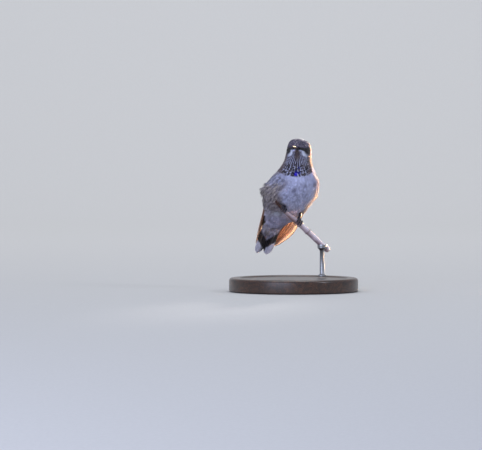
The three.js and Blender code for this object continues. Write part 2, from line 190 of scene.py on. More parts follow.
# Stained beech under satin lacquer: long grain with fine dark pores, and a thin clear coat over them.
GRAIN = {"ring": 2.4 * MM, "pore": 0.35 * MM}
wood = new_material("stained beech, satin lacquer")
place = add(wood, "ShaderNodeTexCoord").outputs["Object"]
along_grain = add(wood, "ShaderNodeMapping", {"Scale": (1, 0.09, 1)}, Vector=place).outputs["Vector"]
figure = add(
    wood,
    "ShaderNodeTexNoise",
    {"Scale": 1 / GRAIN["ring"], "Detail": 5, "Roughness": 0.55, "Distortion": 0.6},
    Vector=along_grain,
)
pores = add(wood, "ShaderNodeTexNoise", {"Scale": 1 / GRAIN["pore"], "Detail": 2}, Vector=along_grain)
tone = ramp(wood, figure.outputs["Fac"], (0.3, 0x2A1A12), (0.5, 0x45291A), (0.72, 0x5E3A24))
pore_shade = ramp(wood, pores.outputs["Fac"], (0.42, 0x6A6A6A), (0.56, 0xFFFFFF))
wood_colour = add(
    wood, "ShaderNodeMix", {"data_type": "RGBA", "blend_type": "MULTIPLY", 0: 0.8}, in6=tone, in7=pore_shade
)
wood_bump = add(
    wood, "ShaderNodeBump", {"Strength": 0.25, "Distance": 0.05 * MM}, Height=pores.outputs["Fac"]
)
shader = add(
    wood,
    "ShaderNodeBsdfPrincipled",
    {"Roughness": 0.42, "IOR": 1.5, "Coat Weight": 0.5, "Coat Roughness": 0.22, "Coat IOR": 1.5},
    Base_Color=wood_colour.outputs[2],
    Normal=wood_bump.outputs["Normal"],
)
show(wood, shader.outputs["BSDF"])
fix(stand_base, wood, "base_wood", "stand_base", smooth=30)

# ---- Stand rod -----------------------------------------------------------------------------------
# A steel rod on a small round flange, with a turned cup at the top that is filed out to take the stalk. It
# is turned from one bar, brushed round and round, and pinned into the base.
rod_low, rod_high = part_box("stand_rod")
rod_at = (rod_low + rod_high) / 2
rod_wide = (rod_high.x - rod_low.x) / 2
rod_tall = rod_high.z - rod_low.z
ROD = {"radius": 1.2 * MM, "flange": 2.28 * MM, "flange_high": 0.7 * MM, "cup_high": 3.4 * MM}
bpy.ops.object.select_all(action="DESELECT")
bpy.ops.mesh.primitive_cylinder_add(
    vertices=40,
    radius=ROD["flange"],
    depth=ROD["flange_high"],
    location=(rod_at.x, rod_at.y, rod_low.z + ROD["flange_high"] / 2),
)
stand_rod = bpy.context.object
stand_rod.name = "stand_rod_steel"


def draw_out(steps):
    """Draws the top face up through rings of (radius, height above the foot)."""
    select_faces(lambda face: face.normal.z > 0.9)
    height, radius = ROD["flange_high"], ROD["flange"]
    for new_radius, new_height in steps:
        bpy.ops.mesh.extrude_region_move(
            TRANSFORM_OT_translate={"value": (0, 0, new_height - height)}
        )
        scale = new_radius / radius
        bpy.ops.transform.resize(
            value=(scale, scale, 1), center_override=(rod_at.x, rod_at.y, rod_low.z + new_height)
        )
        height, radius = new_height, new_radius


cup_foot = rod_tall - ROD["cup_high"]
edit(
    stand_rod,
    lambda: draw_out(
        [
            (ROD["radius"] * 1.25, 1.0 * MM),
            (ROD["radius"], 1.5 * MM),
            (ROD["radius"], cup_foot),
            (rod_wide * 0.72, cup_foot + 0.9 * MM),
            (rod_wide, cup_foot + 1.6 * MM),
            (rod_wide, cup_foot + 1.9 * MM),
            (rod_wide * 0.94, cup_foot + 2.0 * MM),
            (rod_wide * 0.94, cup_foot + 2.2 * MM),
            (rod_wide, cup_foot + 2.3 * MM),
            (rod_wide, rod_tall),
        ]
    ),
)


def edit_all(piece, operator, **settings):
    """Runs one edit-mode operator on all of a piece's mesh."""

    def on_everything():
        bpy.ops.mesh.select_all(action="SELECT")
        operator(**settings)

    edit(piece, on_everything)


def copy_of(name, *nodes):
    """A new piece made of copies of CAD nodes, with their loose triangles merged."""
    bpy.ops.object.select_all(action="DESELECT")
    copies = []
    for node in nodes:
        copies.append(bpy.data.objects.new(name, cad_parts[node].data.copy()))
        bpy.context.collection.objects.link(copies[-1])
        copies[-1].select_set(True)
    bpy.context.view_layer.objects.active = copies[0]
    if len(copies) > 1:
        bpy.ops.object.join()
    made = bpy.context.object
    made.name = name
    edit_all(made, bpy.ops.mesh.remove_doubles, threshold=1e-6)
    return made


room = copy_of("stalk_room", "perch_stalk")
apply_modifier(room, "SUBSURF", levels=1, render_levels=1)
apply_modifier(room, "DISPLACE", strength=0.22 * MM, mid_level=0)
apply_modifier(stand_rod, "BOOLEAN", object=room, operation="DIFFERENCE", solver="EXACT")
bpy.data.objects.remove(room)
apply_modifier(
    stand_rod, "BEVEL", limit_method="ANGLE", angle_limit=math.radians(35), width=0.12 * MM, segments=2
)

# Brushed stainless steel: fine rings from the lathe, kept a little wide so that they show.
BRUSHED = 0.16 * MM
steel = new_material("brushed stainless steel")
place = add(steel, "ShaderNodeTexCoord").outputs["Object"]
rings = add(steel, "ShaderNodeMapping", {"Scale": (0.05, 0.05, 1)}, Vector=place).outputs["Vector"]
scratches = add(steel, "ShaderNodeTexNoise", {"Scale": 1 / BRUSHED, "Detail": 3}, Vector=rings)
steel_rough = add(
    steel, "ShaderNodeMapRange", {"To Min": 0.24, "To Max": 0.42}, Value=scratches.outputs["Fac"]
)
steel_bump = add(
    steel, "ShaderNodeBump", {"Strength": 0.3, "Distance": 0.02 * MM}, Height=scratches.outputs["Fac"]
)
steel_tone = ramp(steel, scratches.outputs["Fac"], (0.3, 0x8C8E92), (0.7, 0xB4B6BA))
shader = add(
    steel,
    "ShaderNodeBsdfPrincipled",
    {"Metallic": 1},
    Base_Color=steel_tone,
    Roughness=steel_rough.outputs["Result"],
    Normal=steel_bump.outputs["Normal"],
)
show(steel, shader.outputs["BSDF"])
fix(stand_rod, steel, "rod_steel", "stand_rod", smooth=40)

# ---- Skin ----------------------------------------------------------------------------------------
# The bird's one skin, from crown to tail root, with the fleshy arms of the folded wings. It is soft, thin
# and pale, lies under the feathers by the depth of the coat, and is tinted as the feathers over it, so that
# no gap shows.


def turned(*turns):
    """The rotation matrix of turns of (axis, degrees), the last one first."""
    made = Matrix.Identity(3)
    for axis, degrees in turns:
        made = made @ Matrix.Rotation(math.radians(degrees), 3, axis)
    return np.array(made)


# The bird's own frame is in millimetres, with its left at +X, its back at +Y and its origin level with its
# feet. The head's frame has the bill at -Y.
BIRD = {"at": np.array((-3.6, 3.5, 40)), "turn": turned(("Z", 25), ("Y", 8.4))}
HEAD_TURN = turned(("Z", -9.5), ("X", -8.5), ("Y", 1.5))
HEAD_IN_BIRD = np.array((0.2, -4.4, 33.9))
HEAD = {"at": BIRD["turn"] @ HEAD_IN_BIRD + BIRD["at"], "turn": HEAD_TURN}


def into(own, points):
    """World metres as an own frame's millimetres."""
    return (np.asarray(points, float) / MM - own["at"]) @ own["turn"]


def out_of(own, points):
    """An own frame's millimetres as world metres."""
    return (np.asarray(points, float) @ own["turn"].T + own["at"]) * MM


def head_from_bird(points):
    """Points of the bird's frame in the head's frame."""
    return (points @ BIRD["turn"].T + BIRD["at"] - HEAD["at"]) @ HEAD["turn"]


def ease(low, high, value):
    """A smooth step from 0 at low to 1 at high."""
    share = np.clip((value - low) / (high - low), 0, 1)
    return share * share * (3 - 2 * share)


def mix(a, b, share):
    """a to b by a share, for numbers or for rows of numbers."""
    share = np.asarray(share, float)
    if np.ndim(a) > share.ndim or np.ndim(b) > share.ndim:
        share = share[..., None]
    return a * (1 - share) + b * share


def dapple(points, size, seed):
    """Smooth noise from 0 to 1 in cells of a size, for rows of points."""
    cell = np.floor(points / size)
    part = points / size - cell
    part = part * part * (3 - 2 * part)
    total = 0
    for corner in np.ndindex(2, 2, 2):
        key = ((cell + corner) @ np.array((127.1, 311.7, 74.7)) + seed * 19.19) % 6283.0
        value = np.modf(np.abs(np.sin(key) * 43758.5453))[0]
        total = total + value * np.prod(np.where(corner, part, 1 - part), axis=-1)
    return total


def row_lengths(rows):
    return np.linalg.norm(rows, axis=-1, keepdims=True)


def unit(rows):
    return rows / np.maximum(row_lengths(rows), 1e-9)


# The folded wing's two edges in the bird's frame, wrist to tip, as they lie on the left side.
WING_LEAD = np.array(
    ((7.8, 0.6, 22.4), (14.4, 3.6, 11.4), (12.5, 7.6, 1.6), (11.2, 12.9, -8.8), (6.2, 22.4, -16.4))
)
WING_TRAIL = np.array(
    ((5.6, 5.4, 22.2), (7.2, 10.4, 12), (5.2, 13.6, 3), (4.4, 19, -7), (5.6, 22.7, -16.2))
)
WING_SIDE = {"left": 1.05, "right": -0.87}


def smooth_path(points, shares):
    """Points along a smooth curve through a few, at shares of the way from 0 to 1."""
    ends = (2 * points[0] - points[1], 2 * points[-1] - points[-2])
    path = np.vstack((ends[0], points, ends[1]))
    gaps = np.sqrt(np.linalg.norm(np.diff(path, axis=0), axis=1))
    made = []
    for share in np.atleast_1d(shares):
        at = np.clip(share, 0, 1) * (len(points) - 1)
        i = min(int(at), len(points) - 2)
        p, (d0, d1, d2) = path[i : i + 4], gaps[i : i + 3]
        start = ((p[1] - p[0]) / d0 - (p[2] - p[0]) / (d0 + d1) + (p[2] - p[1]) / d1) * d1
        end = ((p[2] - p[1]) / d1 - (p[3] - p[1]) / (d1 + d2) + (p[3] - p[2]) / d2) * d1
        t = at - i
        near = p[1] * (2 * t**3 - 3 * t**2 + 1) + start * (t**3 - 2 * t**2 + t)
        made.append(near + p[2] * (3 * t**2 - 2 * t**3) + end * (t**3 - t**2))
    return np.array(made)


def wing_outward(side, s):
    """The way that a folded wing's outer face looks, at a share of its length."""
    sign = 1 if side == "left" else -1
    return unit(np.stack((sign * mix(1, 0.3, s), mix(0.6, 0.9, s), np.full_like(s, 0.2)), axis=-1))


def wing_point(side, s, u):
    """A point of a wing's middle layer: s from wrist to tip, u from the leading to the trailing edge."""
    s, u = np.broadcast_arrays(np.asarray(s, float), np.asarray(u, float))
    flip = np.array((WING_SIDE[side], 1, 1))
    lead, trail = (
        smooth_path(edge, s.ravel()).reshape(*s.shape, 3) * flip for edge in (WING_LEAD, WING_TRAIL)
    )
    camber = (1 - s) * 4 * u * (1 - u)
    return mix(lead, trail, u) + wing_outward(side, s) * camber[..., None]


# A fan of points over each wing's arm, to tell which part of the skin is wing.
arm_s, arm_u = (
    grid.ravel() for grid in np.meshgrid(np.linspace(0, 0.42, 36), np.linspace(0, 1, 14), indexing="ij")
)
arms = {side: wing_point(side, arm_s, arm_u) for side in WING_SIDE}
arm_trees = {}
for side, points in arms.items():
    arm_trees[side] = kdtree.KDTree(len(points))
    for i, point in enumerate(points):
        arm_trees[side].insert(point, i)
    arm_trees[side].balance()


def on_wing(points):
    """How much each point belongs to a wing's arm, with its share s along the wing and u across it."""
    own, s, u = np.zeros(len(points)), np.zeros(len(points)), np.zeros(len(points))
    for side in WING_SIDE:
        near = np.nonzero(np.abs(points[:, 0]) > 3)[0]
        near = near[np.sign(points[near, 0]) == np.sign(WING_SIDE[side])]
        for i in near:
            _, found, gap = arm_trees[side].find(points[i])
            s[i], u[i] = arm_s[found], arm_u[found]
            own[i] = 1 - ease(1.3, 2.3, gap)
    return own, s, u


def body_middle(up):
    """How far the body's middle lies behind the origin, at heights of the bird's frame."""
    heights = (-8.1, -5.2, -2.4, 1.4, 6.4, 12, 18.5, 23, 31, 41)
    return np.interp(up, heights, (14.9, 11.5, 8.2, 4, 1.2, -0.3, -2.5, -3.7, -4.5, -4))


def round_body(points):
    """The angle round the body in degrees: 0 at the breast, 90 at the left side, 180 at the back."""
    aside = np.interp(
        points[:, 2], (-2.4, 1.4, 6.4, 12, 18.5, 23, 27.5, 31), (0.3, 0.4, -0.4, 0, 1.2, 1.1, 0.6, 0.2)
    )
    return np.degrees(np.arctan2(points[:, 0] - aside, body_middle(points[:, 2]) - points[:, 1]))


def coat_depth(points):
    """How deep the coat is over the skin: least on the face, most on the flanks and belly."""
    in_head = head_from_bird(points)
    head_share = ease(-10, -3, in_head[:, 2])
    face = ease(1, -4, in_head[:, 1]) * ease(-7, -3, in_head[:, 2]) * ease(5, 2, in_head[:, 2])
    depth = mix(mix(0.85, 0.5, head_share), 0.3, face * head_share)
    own, _, _ = on_wing(points)
    return mix(depth, 0.45, own)


# The eyes' frames: where each eyeball is, and the way that its opening looks, a little forward of sideways.
EYE = {"radius": 1.7, "forward": 0.56, "up": 0.06, "opening": 50, "lid": 0.12}
eyes = {}
for side, sign in (("left", 1), ("right", -1)):
    centre = sum(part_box(f"eye_{side}"), Vector()) / 2
    looks = np.array((sign, -EYE["forward"], EYE["up"])) @ HEAD["turn"].T @ BIRD["turn"]
    eyes[side] = {"at": into(BIRD, [centre])[0], "looks": unit(looks)}

# The copies are swelled so that the gaps between them close, joined with a round orbit over each eyeball,
# and drawn back in.
PUFF = 0.8
skin = copy_of("skin", "head", "neck", "trunk", "rump", "wing_left_coverts", "wing_right_coverts")
apply_modifier(skin, "REMESH", mode="VOXEL", voxel_size=0.3 * MM)
apply_modifier(skin, "SMOOTH", factor=0.6, iterations=4)
apply_modifier(skin, "DISPLACE", strength=PUFF * MM, mid_level=0)
orbit = EYE["radius"] + EYE["lid"] + 0.3 + PUFF
for eye in eyes.values():
    bpy.ops.object.select_all(action="DESELECT")
    bpy.ops.mesh.primitive_uv_sphere_add(
        radius=orbit * MM, location=out_of(BIRD, eye["at"] - 0.1 * eye["looks"])
    )
    skin.select_set(True)
    bpy.context.view_layer.objects.active = skin
    bpy.ops.object.join()
apply_modifier(skin, "REMESH", mode="VOXEL", voxel_size=0.38 * MM)
apply_modifier(skin, "SMOOTH", factor=0.6, iterations=12)


def read(mesh, what, width=3):
    """A mesh's vertex values as rows."""
    values = np.empty(len(mesh.vertices) * width)
    (mesh.vertex_normals if what == "normal" else mesh.vertices).foreach_get(
        "vector" if what == "normal" else what, values
    )
    return values.reshape(-1, width)


# The wrists are eased into the back and the neck.
skin_at = into(BIRD, read(skin.data, "co"))
wrists = skin.vertex_groups.new(name="wrists")
for side, out in WING_SIDE.items():
    gap = row_lengths(skin_at - np.array((out * 7, 3.4, 22)))[:, 0]
    for i in np.nonzero(gap < 6.5)[0]:
        wrists.add([int(i)], float(ease(6.5, 3.5, gap[i])), "REPLACE")
apply_modifier(skin, "SMOOTH", factor=0.9, iterations=70, vertex_group="wrists")
skin.vertex_groups.clear()

skin_at = into(BIRD, read(skin.data, "co"))
skin_normal = read(skin.data, "normal") @ BIRD["turn"]
skin_at = skin_at - skin_normal * (coat_depth(skin_at) + PUFF)[:, None]

# The lids end at the opening, and behind it the skin turns in under the eyeball's edge.
for eye in eyes.values():
    reach = skin_at - eye["at"]
    gap = row_lengths(reach)[:, 0]
    angle = np.degrees(np.arccos(np.clip(unit(reach) @ eye["looks"], -1, 1)))
    lid = np.maximum(gap, EYE["radius"] + EYE["lid"])
    held = np.where(angle < EYE["opening"], np.minimum(gap, EYE["radius"] - 0.3), lid)
    skin_at = np.where((gap < 3)[:, None], eye["at"] + unit(reach) * held[:, None], skin_at)
skin.data.vertices.foreach_set("co", out_of(BIRD, skin_at).ravel())
skin.data.update()
apply_modifier(skin, "SMOOTH", factor=0.5, iterations=1)
skin_at = into(BIRD, read(skin.data, "co"))
skin_normal = read(skin.data, "normal") @ BIRD["turn"]
skin.data.calc_loop_triangles()
skin_faces = np.empty(len(skin.data.loop_triangles) * 3, int)
skin.data.loop_triangles.foreach_get("vertices", skin_faces)
skin_faces = skin_faces.reshape(-1, 3)
face_normal = unit(skin_normal[skin_faces].mean(axis=1))
skin_tree = BVHTree.FromPolygons(skin_at.tolist(), skin_faces.tolist())

# ---- Markings ------------------------------------------------------------------------------------
# The colours of a young male: a sooty crown, a dark line from bill to eye over a white one, a pale throat
# with dusky-centred feathers in rows, a first few violet ones, pale underparts with buffy flanks, and a
# bronze-green back.


def shade(hex_colour):
    """A colour as a row of three linear numbers."""
    return np.array(linear(hex_colour)[:3])


CROWN, NAPE, BACK, RUMP = shade(0x4E4760), shade(0x5E5C5E), shade(0x515A40), shade(0x5A6146)
LORE, MALAR, POST_EYE = shade(0x161318), shade(0xD2D8EC), shade(0xF2F0EC)
CHIN, THROAT, SPOT = shade(0x806C68), shade(0xC4C8EC), shade(0x1E1624)
# The gorget's violet, and the dark blue that is painted shade on its upper violet feathers.
VIOLET, VIOLET_IN_SHADE, RUST = shade(0x2A00FF), shade(0x14107A), shade(0x5E4440)
CHEEK, NECK = shade(0x9A847C), shade(0x8C8488)
BREAST, SMUDGE, BELLY, FLANK, VENT = (
    shade(0xC6CBF2),
    shade(0x747498),
    shade(0xDCDCFA),
    shade(0x82767E),
    shade(0xCCCAEE),
)
SHOULDER, FLECK, COVERT = shade(0xA6AACC), shade(0x4C4752), shade(0x59605A)
HAIR = shade(0xDCD0CC)
# mm from row to row of throat feathers, and its growth for each mm
ROWS_DOWN = {"first": 0.75, "growth": 0.062}
COLUMN = 0.089  # the width of a column of throat feathers, as a share of the way down from the fan's pole
FAN = 6  # mm that the pole of the fan of columns lies above the bill
NECK_ROUND = 7.5  # mm, radius that turns an angle round the throat into a width


def throat_place(in_head):
    """Where points lie on the throat: the angle round it, the width off its middle, and the way down."""
    around = np.arctan2(in_head[:, 0], -in_head[:, 1])
    return around, around * NECK_ROUND, -in_head[:, 2]


def throat_cells(in_head):
    """The column and row of throat feathers that points fall in, and how far off their middles they lie."""
    _, wide, down = throat_place(in_head)
    across = wide / ((FAN + np.maximum(down, 0)) * COLUMN)
    first, growth = ROWS_DOWN["first"], ROWS_DOWN["growth"]
    rows = np.log((first + growth * np.maximum(down, 0)) / first) / growth
    column = np.round(across)
    stagger = 0.5 * np.mod(column, 2)
    row = np.round(rows - stagger) + stagger
    return column, row, across - column, rows - row


def chance(column, row, seed):
    """A fixed number from 0 to 1 for each cell."""
    return np.modf(np.abs(np.sin(column * 12.9898 + row * 78.233 + seed * 37.719) * 43758.5453))[0]


def first_row_down(row):
    """How far down the throat a row of feathers lies."""
    first, growth = ROWS_DOWN["first"], ROWS_DOWN["growth"]
    return first * (np.exp(growth * row) - 1) / growth


def throat_edge(wide):
    """How far down the throat patch ends over the breast: a rounded edge."""
    return 14.8 - 3.2 * (wide / 9.5) ** 2


def throat_share(in_head):
    """How much points belong to the throat patch, from the bill to its edge and round to the cheeks."""
    _, wide, down = throat_place(in_head)
    edge = throat_edge(wide)
    return ease(0.3, 0.8, down) * ease(edge + 0.35, edge - 0.35, down) * ease(10.6, 9.6, np.abs(wide))


def paint(ground, colour, share):
    """Lays a colour over rows of colours, by a share for each row."""
    share = share[..., None]
    return ground * (1 - share) + colour * share


def blot(points, centre, radius):
    """A soft round spot."""
    return ease(radius * 1.25, radius * 0.5, row_lengths(points - np.array(centre))[:, 0])


def markings(points, own=None):
    """The plumage's colour at points of the bird's frame, as linear rows."""
    if own is None:
        own, _, _ = on_wing(points)
    in_head = head_from_bird(points)
    turn_of = round_body(points)
    side = np.abs(turn_of)
    height = points[:, 2]
    fine, broad = dapple(points, 0.7, 1), dapple(points, 2.6, 2)

    ground = paint(BREAST, BELLY, ease(9, 2, height + 2 * broad))
    ground = paint(ground, VENT, ease(1, -3, height))
    # The flank's dusky buff is the coat's own colour; it reaches further forward on the bird's right side
    # than on its left, which is painted shade on that side.
    from_front = side + np.where(turn_of < 0, 9, -8) + 18 * (broad - 0.5)
    flank = ease(40, 64, from_front) * ease(19, 14, height) * ease(-2, 3, height + 3 * (broad - 0.5))
    ground = paint(ground, FLANK, 0.92 * flank)
    shoulder = ease(38, 60, side) * ease(12, 15, height) * ease(24, 20, height)
    ground = paint(ground, SHOULDER, shoulder * 0.9)
    flecks = ease(0.55, 0.68, fine)
    ground = paint(ground, FLECK, flecks * np.maximum(shoulder * 0.7, flank * 0.5))
    ground = paint(ground, HAIR, ease(0.42, 0.3, fine) * flank * 0.5)
    ground = paint(ground, FLECK * 0.6, 0.85 * blot(points, (-12.1, 0.7, 14.9), 1.5))
    for centre, radius, strength in (
        ((-3.2, -11.9, 12.3), 2.0, 0.8),
        ((2.1, -12.9, 15.4), 1.3, 0.85),
        ((1.2, -12.6, 13.4), 1.0, 0.7),
        ((-0.8, -12.4, 12.6), 1.2, 0.5),
        ((8.0, -11.0, 17.2), 1.5, 0.8),
        ((-2.0, -11, 10.0), 1.2, 0.5),
        ((-6.2, -9.0, 9.0), 1.6, 0.4),
    ):
        ground = paint(ground, SMUDGE, strength * blot(points, centre, radius))
    ground = paint(ground, SMUDGE, ease(0.5, 0.66, broad) * ease(1, -3, height) * 0.5)
    ground = paint(ground, MALAR, 0.85 * blot(points, (-5.1, 1.2, -0.85), 2.6))
    ground = paint(ground, SMUDGE, ease(0.52, 0.7, broad) * ease(6, 14, height) * 0.25)

    back = ease(98, 116, side + 14 * (broad - 0.5))
    ground = paint(ground, paint(BACK, RUMP, ease(8, 2, height)), back)
    ground = paint(ground, COVERT, own * ease(0.55, 0.9, own) * ease(60, 82, side))
    neck = ease(17, 22, height) * ease(72, 96, side)
    ground = paint(ground, NECK, neck * (1 - back))

    around, wide, down = throat_place(in_head)
    turned_off = np.degrees(np.abs(around))
    on_head = ease(9.5, 7, down)
    ground = paint(ground, CHEEK, on_head * ease(36, 52, turned_off) * ease(0.4, 1.4, down))
    ground = paint(ground, NAPE, ease(15, 11, down) * ease(96, 122, turned_off))

    throat = throat_share(in_head)
    aside = np.abs(wide)
    pale = paint(THROAT, CHIN, ease(2.0, 0.6, aside - 0.05 * down) * ease(8.5, 3.5, down))
    corner = ease(6.2, 8.6, aside + 0.25 * (down - 10)) * ease(6, 9, down)
    pale = paint(pale, RUST, corner * 0.8)
    pale = paint(pale, CHEEK, ease(6.8, 8.0, aside) * ease(9, 6, down) * 0.8)
    ground = paint(ground, pale, throat)
    column, row, off_column, off_row = throat_cells(in_head)
    streaked = ease(9.6, 7.0, down)
    wander = 0.36 * (dapple(points, 1.5, 5) - 0.5)
    nudge_column, nudge_row = 0.34 * (chance(column, row, 3) - 0.5), 0.3 * (chance(column, row, 4) - 0.5)
    across = off_column + wander + nudge_column * (1 - streaked)
    reach = np.hypot(across, (off_row + nudge_row) * (1 - 0.96 * streaked))
    size = mix(0.54 + 0.2 * (chance(column, row, 1) - 0.5), 0.36, streaked)
    spot = ease(size + 0.07, size - 0.07, reach) * ease(0.6, 1.4, down)
    on_left = wide > 0
    top_edge = np.where(on_left, 0.3, 0.0) + 0.1 * np.maximum(aside - 2.5, 0) ** 1.7
    low_edge = (
        np.interp(aside, (1.6, 2.6, 4.2, 6.0, 7.4), (1.1, 2.0, 3.1, 3.6, 3.4))
        + 0.5 * (dapple(points, 0.8, 12) - 0.5)
    )
    white_patch = ease(2.5, 3.3, aside) * ease(7.4, 6.4, aside)
    white_patch = (
        white_patch * ease(top_edge, top_edge + 0.3, down) * ease(low_edge + 0.5, low_edge - 0.3, down)
    )
    white_patch = white_patch * (1 - 0.7 * spot * ease(4.8, 6.2, aside))
    tone = paint(SPOT, CHIN * 0.35, ease(0.5, 1, chance(column, row, 2)) * 0.6)
    tone = paint(tone, RUST, corner * 0.6)
    ground = paint(ground, tone, throat * spot * (1 - white_patch))
    # Painted shade and glint: the upper violet feathers are painted dark blue, the lowest bright violet, and
    # each one's brightness differs as a painted glint.
    painted_glint = 0.55 + 0.45 * chance(column, row, 7)
    for centre, radius, colour in (
        ((0.2, -12.6), 1.5, VIOLET_IN_SHADE), ((0.2, -13.4), 1.2, VIOLET), ((1.1, -9.3), 0.75, VIOLET_IN_SHADE)
    ):
        home_row = first_row_down(row)
        home = np.hypot(column * COLUMN * (FAN + home_row) - centre[0], home_row + centre[1]) < radius
        whole = ease(0.5, 0.44, np.abs(off_column)) * home * throat
        ground = paint(ground, colour * painted_glint[:, None], whole)
    ground = paint(ground, MALAR, white_patch)

    cap = ease(0.1, -0.4, down + 0.05 * np.minimum(in_head[:, 1] + 4, 0))
    ground = paint(ground, paint(CROWN, NAPE, ease(90, 130, turned_off)), cap)
    ground = paint(ground, HAIR, 0.3 * cap * ease(0.55, 0.7, fine) * ease(-1, -3, down))
    ground = paint(ground, LORE, 0.5 * cap * ease(0.45, 0.35, fine) * ease(-1, -2, down))
    band = np.where(on_left, 0.55 + 0.06 * aside, 0.6)
    lore = ease(band + 0.3, band - 0.1, np.abs(down + 0.55 - np.where(on_left, 0.08 * aside, 0)))
    lore = lore * ease(9.4, 8.6, aside) * ease(0.3, 1.0, aside)
    ground = paint(ground, LORE, lore)
    for eye in eyes.values():
        reach = points - eye["at"]
        ground = paint(ground, LORE, ease(2.2, 1.85, row_lengths(reach)[:, 0]))
        inner = eye["at"] + np.array((0, -1.5, -0.3)) @ HEAD["turn"].T @ BIRD["turn"]
        ground = paint(ground, LORE, blot(points, inner, 1.9))
        behind = eye["at"] + np.array((0, 2.1, 0.2)) @ HEAD["turn"].T @ BIRD["turn"] + 0.75 * eye["looks"]
        ground = paint(ground, POST_EYE, blot(points, behind, 0.75))
    wisps = dapple(points * (1, 1, 0.35), 0.45, 13)
    return ground * (0.86 + 0.14 * fine + 0.14 * wisps)[:, None]


def colour_attribute(mesh, colours):
    """Puts linear colours on a mesh's vertices."""
    layer = mesh.color_attributes.new("plumage", "FLOAT_COLOR", "POINT")
    layer.data.foreach_set("color", np.hstack((colours, np.ones((len(colours), 1)))).ravel())


# Thin, pale skin with a waxy bloom, tinted by the feathers over it.
bare_skin = new_material("skin under plumage")
tint = add(bare_skin, "ShaderNodeAttribute", {"attribute_name": "plumage"})
place = add(bare_skin, "ShaderNodeTexCoord").outputs["Object"]
pimples = add(bare_skin, "ShaderNodeTexVoronoi", {"Scale": 1 / (0.7 * MM)}, Vector=place)
skin_bump = add(
    bare_skin,
    "ShaderNodeBump",
    {"Strength": 0.4, "Distance": 0.08 * MM},
    Height=pimples.outputs["Distance"],
)
skin_tone = add(
    bare_skin,
    "ShaderNodeMix",
    {"data_type": "RGBA", "blend_type": "MULTIPLY", 0: 1.0, 7: linear(0xC8C2C0)},
    in6=tint.outputs["Color"],
)
shader = add(
    bare_skin,
    "ShaderNodeBsdfPrincipled",
    {"Roughness": 0.75, "Specular IOR Level": 0.25},
    Base_Color=skin_tone.outputs[2],
    Normal=skin_bump.outputs["Normal"],
)
show(bare_skin, shader.outputs["BSDF"])
colour_attribute(skin.data, markings(skin_at))
skin.data.polygons.foreach_set("use_smooth", np.ones(len(skin.data.polygons), bool))
fix(
    skin, bare_skin, "plumage_pale",
    "head", "neck", "trunk", "rump", "wing_left_coverts", "wing_right_coverts", smooth=None,
)

# ---- Coat ----------------------------------------------------------------------------------------
# Some thousands of small contour feathers, each a thin vane rooted in the skin that lies back over the
# next. They are scale-like on the head, back and wings, and soft with free barbs on the underparts; the
# smallest are on the face.


def lie(points, normals, own, s):
    """The way that feathers point: off the bill, down the throat, and along the body and the wings."""
    in_head = head_from_bird(points)
    to_bird = HEAD["turn"].T @ BIRD["turn"]
    slope = (body_middle(points[:, 2] - 1) - body_middle(points[:, 2] + 1)) / 2
    flow = np.stack((np.zeros(len(points)), slope, -np.ones(len(points))), axis=1)
    flow = unit(flow)
    around, wide, down = throat_place(in_head)
    spread = wide / (FAN + np.maximum(down, 0))
    throat = np.stack((np.cos(around) * spread, np.sin(around) * spread, -np.ones(len(points))), axis=1)
    front = ease(105, 70, np.degrees(np.abs(around)))
    flow = mix(flow, unit(throat @ to_bird), ease(15.5, 12.5, down) * front)
    off_bill = in_head - np.array((0, -5.6, 0.3))
    flow = mix(
        flow, unit(off_bill @ to_bird), ease(4.5, 1.5, down) * front + ease(9, 3, down) * (1 - front)
    )
    for eye in eyes.values():
        away = points - eye["at"]
        flow = flow + 1.1 * unit(away) * np.exp(-((row_lengths(away) / 2.7) ** 4))
    ahead = np.zeros_like(flow)
    for side, out in WING_SIDE.items():
        mine = (np.sign(points[:, 0]) == np.sign(out)) & (own > 0)
        if mine.any():
            ahead[mine] = unit(wing_point(side, s[mine] + 0.03, 0.5) - wing_point(side, s[mine], 0.5))
    flow = mix(flow, ahead, own * ease(0.05, 0.15, s))
    flow = flow - normals * np.sum(flow * normals, axis=1, keepdims=True)
    return unit(flow)


def coat_sizes(points, own, s):
    """Each feather's length, half width, gap to its neighbours and softness, from its place."""
    in_head = head_from_bird(points)
    around, _, down = throat_place(in_head)
    turned_off = np.degrees(np.abs(around))
    side = np.abs(round_body(points))
    height = points[:, 2]
    face = ease(105, 70, turned_off) * ease(4.2, 2.6, down) * ease(-3.6, -1.6, down)
    near_eye = np.min([row_lengths(points - eye["at"])[:, 0] for eye in eyes.values()], axis=0)
    under = ease(112, 92, side) * (1 - own)
    on_head = ease(13, 7, down)
    length = mix(mix(3.7, 4.4, under), 1.9, on_head)
    half = mix(mix(1.15, 0.86, under), 0.58, on_head)
    gap = mix(mix(0.92, 0.7, under), 0.54, on_head)
    soft = under * ease(10, 14, down)
    flank = ease(56, 76, side) * ease(14, 11.5, height) * ease(-5, 0, height) * under
    soft = soft + 0.7 * flank * (points[:, 0] < 0)
    length = mix(length, 5.2, flank)
    arm = ease(0.05, 0.36, s)
    length, half = mix(length, mix(1.8, 4.6, arm), own), mix(half, mix(0.7, 1.25, arm), own)
    gap = mix(gap, mix(0.62, 1.0, arm), own)
    small = np.maximum(face, ease(3.4, 2.4, near_eye))
    length, half, gap = mix(length, 1.1, small), mix(half, 0.34, small), mix(gap, 0.38, small)
    tiny = np.maximum(
        ease(2.5, 2.1, near_eye), ease(2.2, 1.3, np.hypot(in_head[:, 0], in_head[:, 2])) * face
    )
    length, half, gap = mix(length, 0.75, tiny), mix(half, 0.26, tiny), mix(gap, 0.3, tiny)
    return length, half, gap, soft


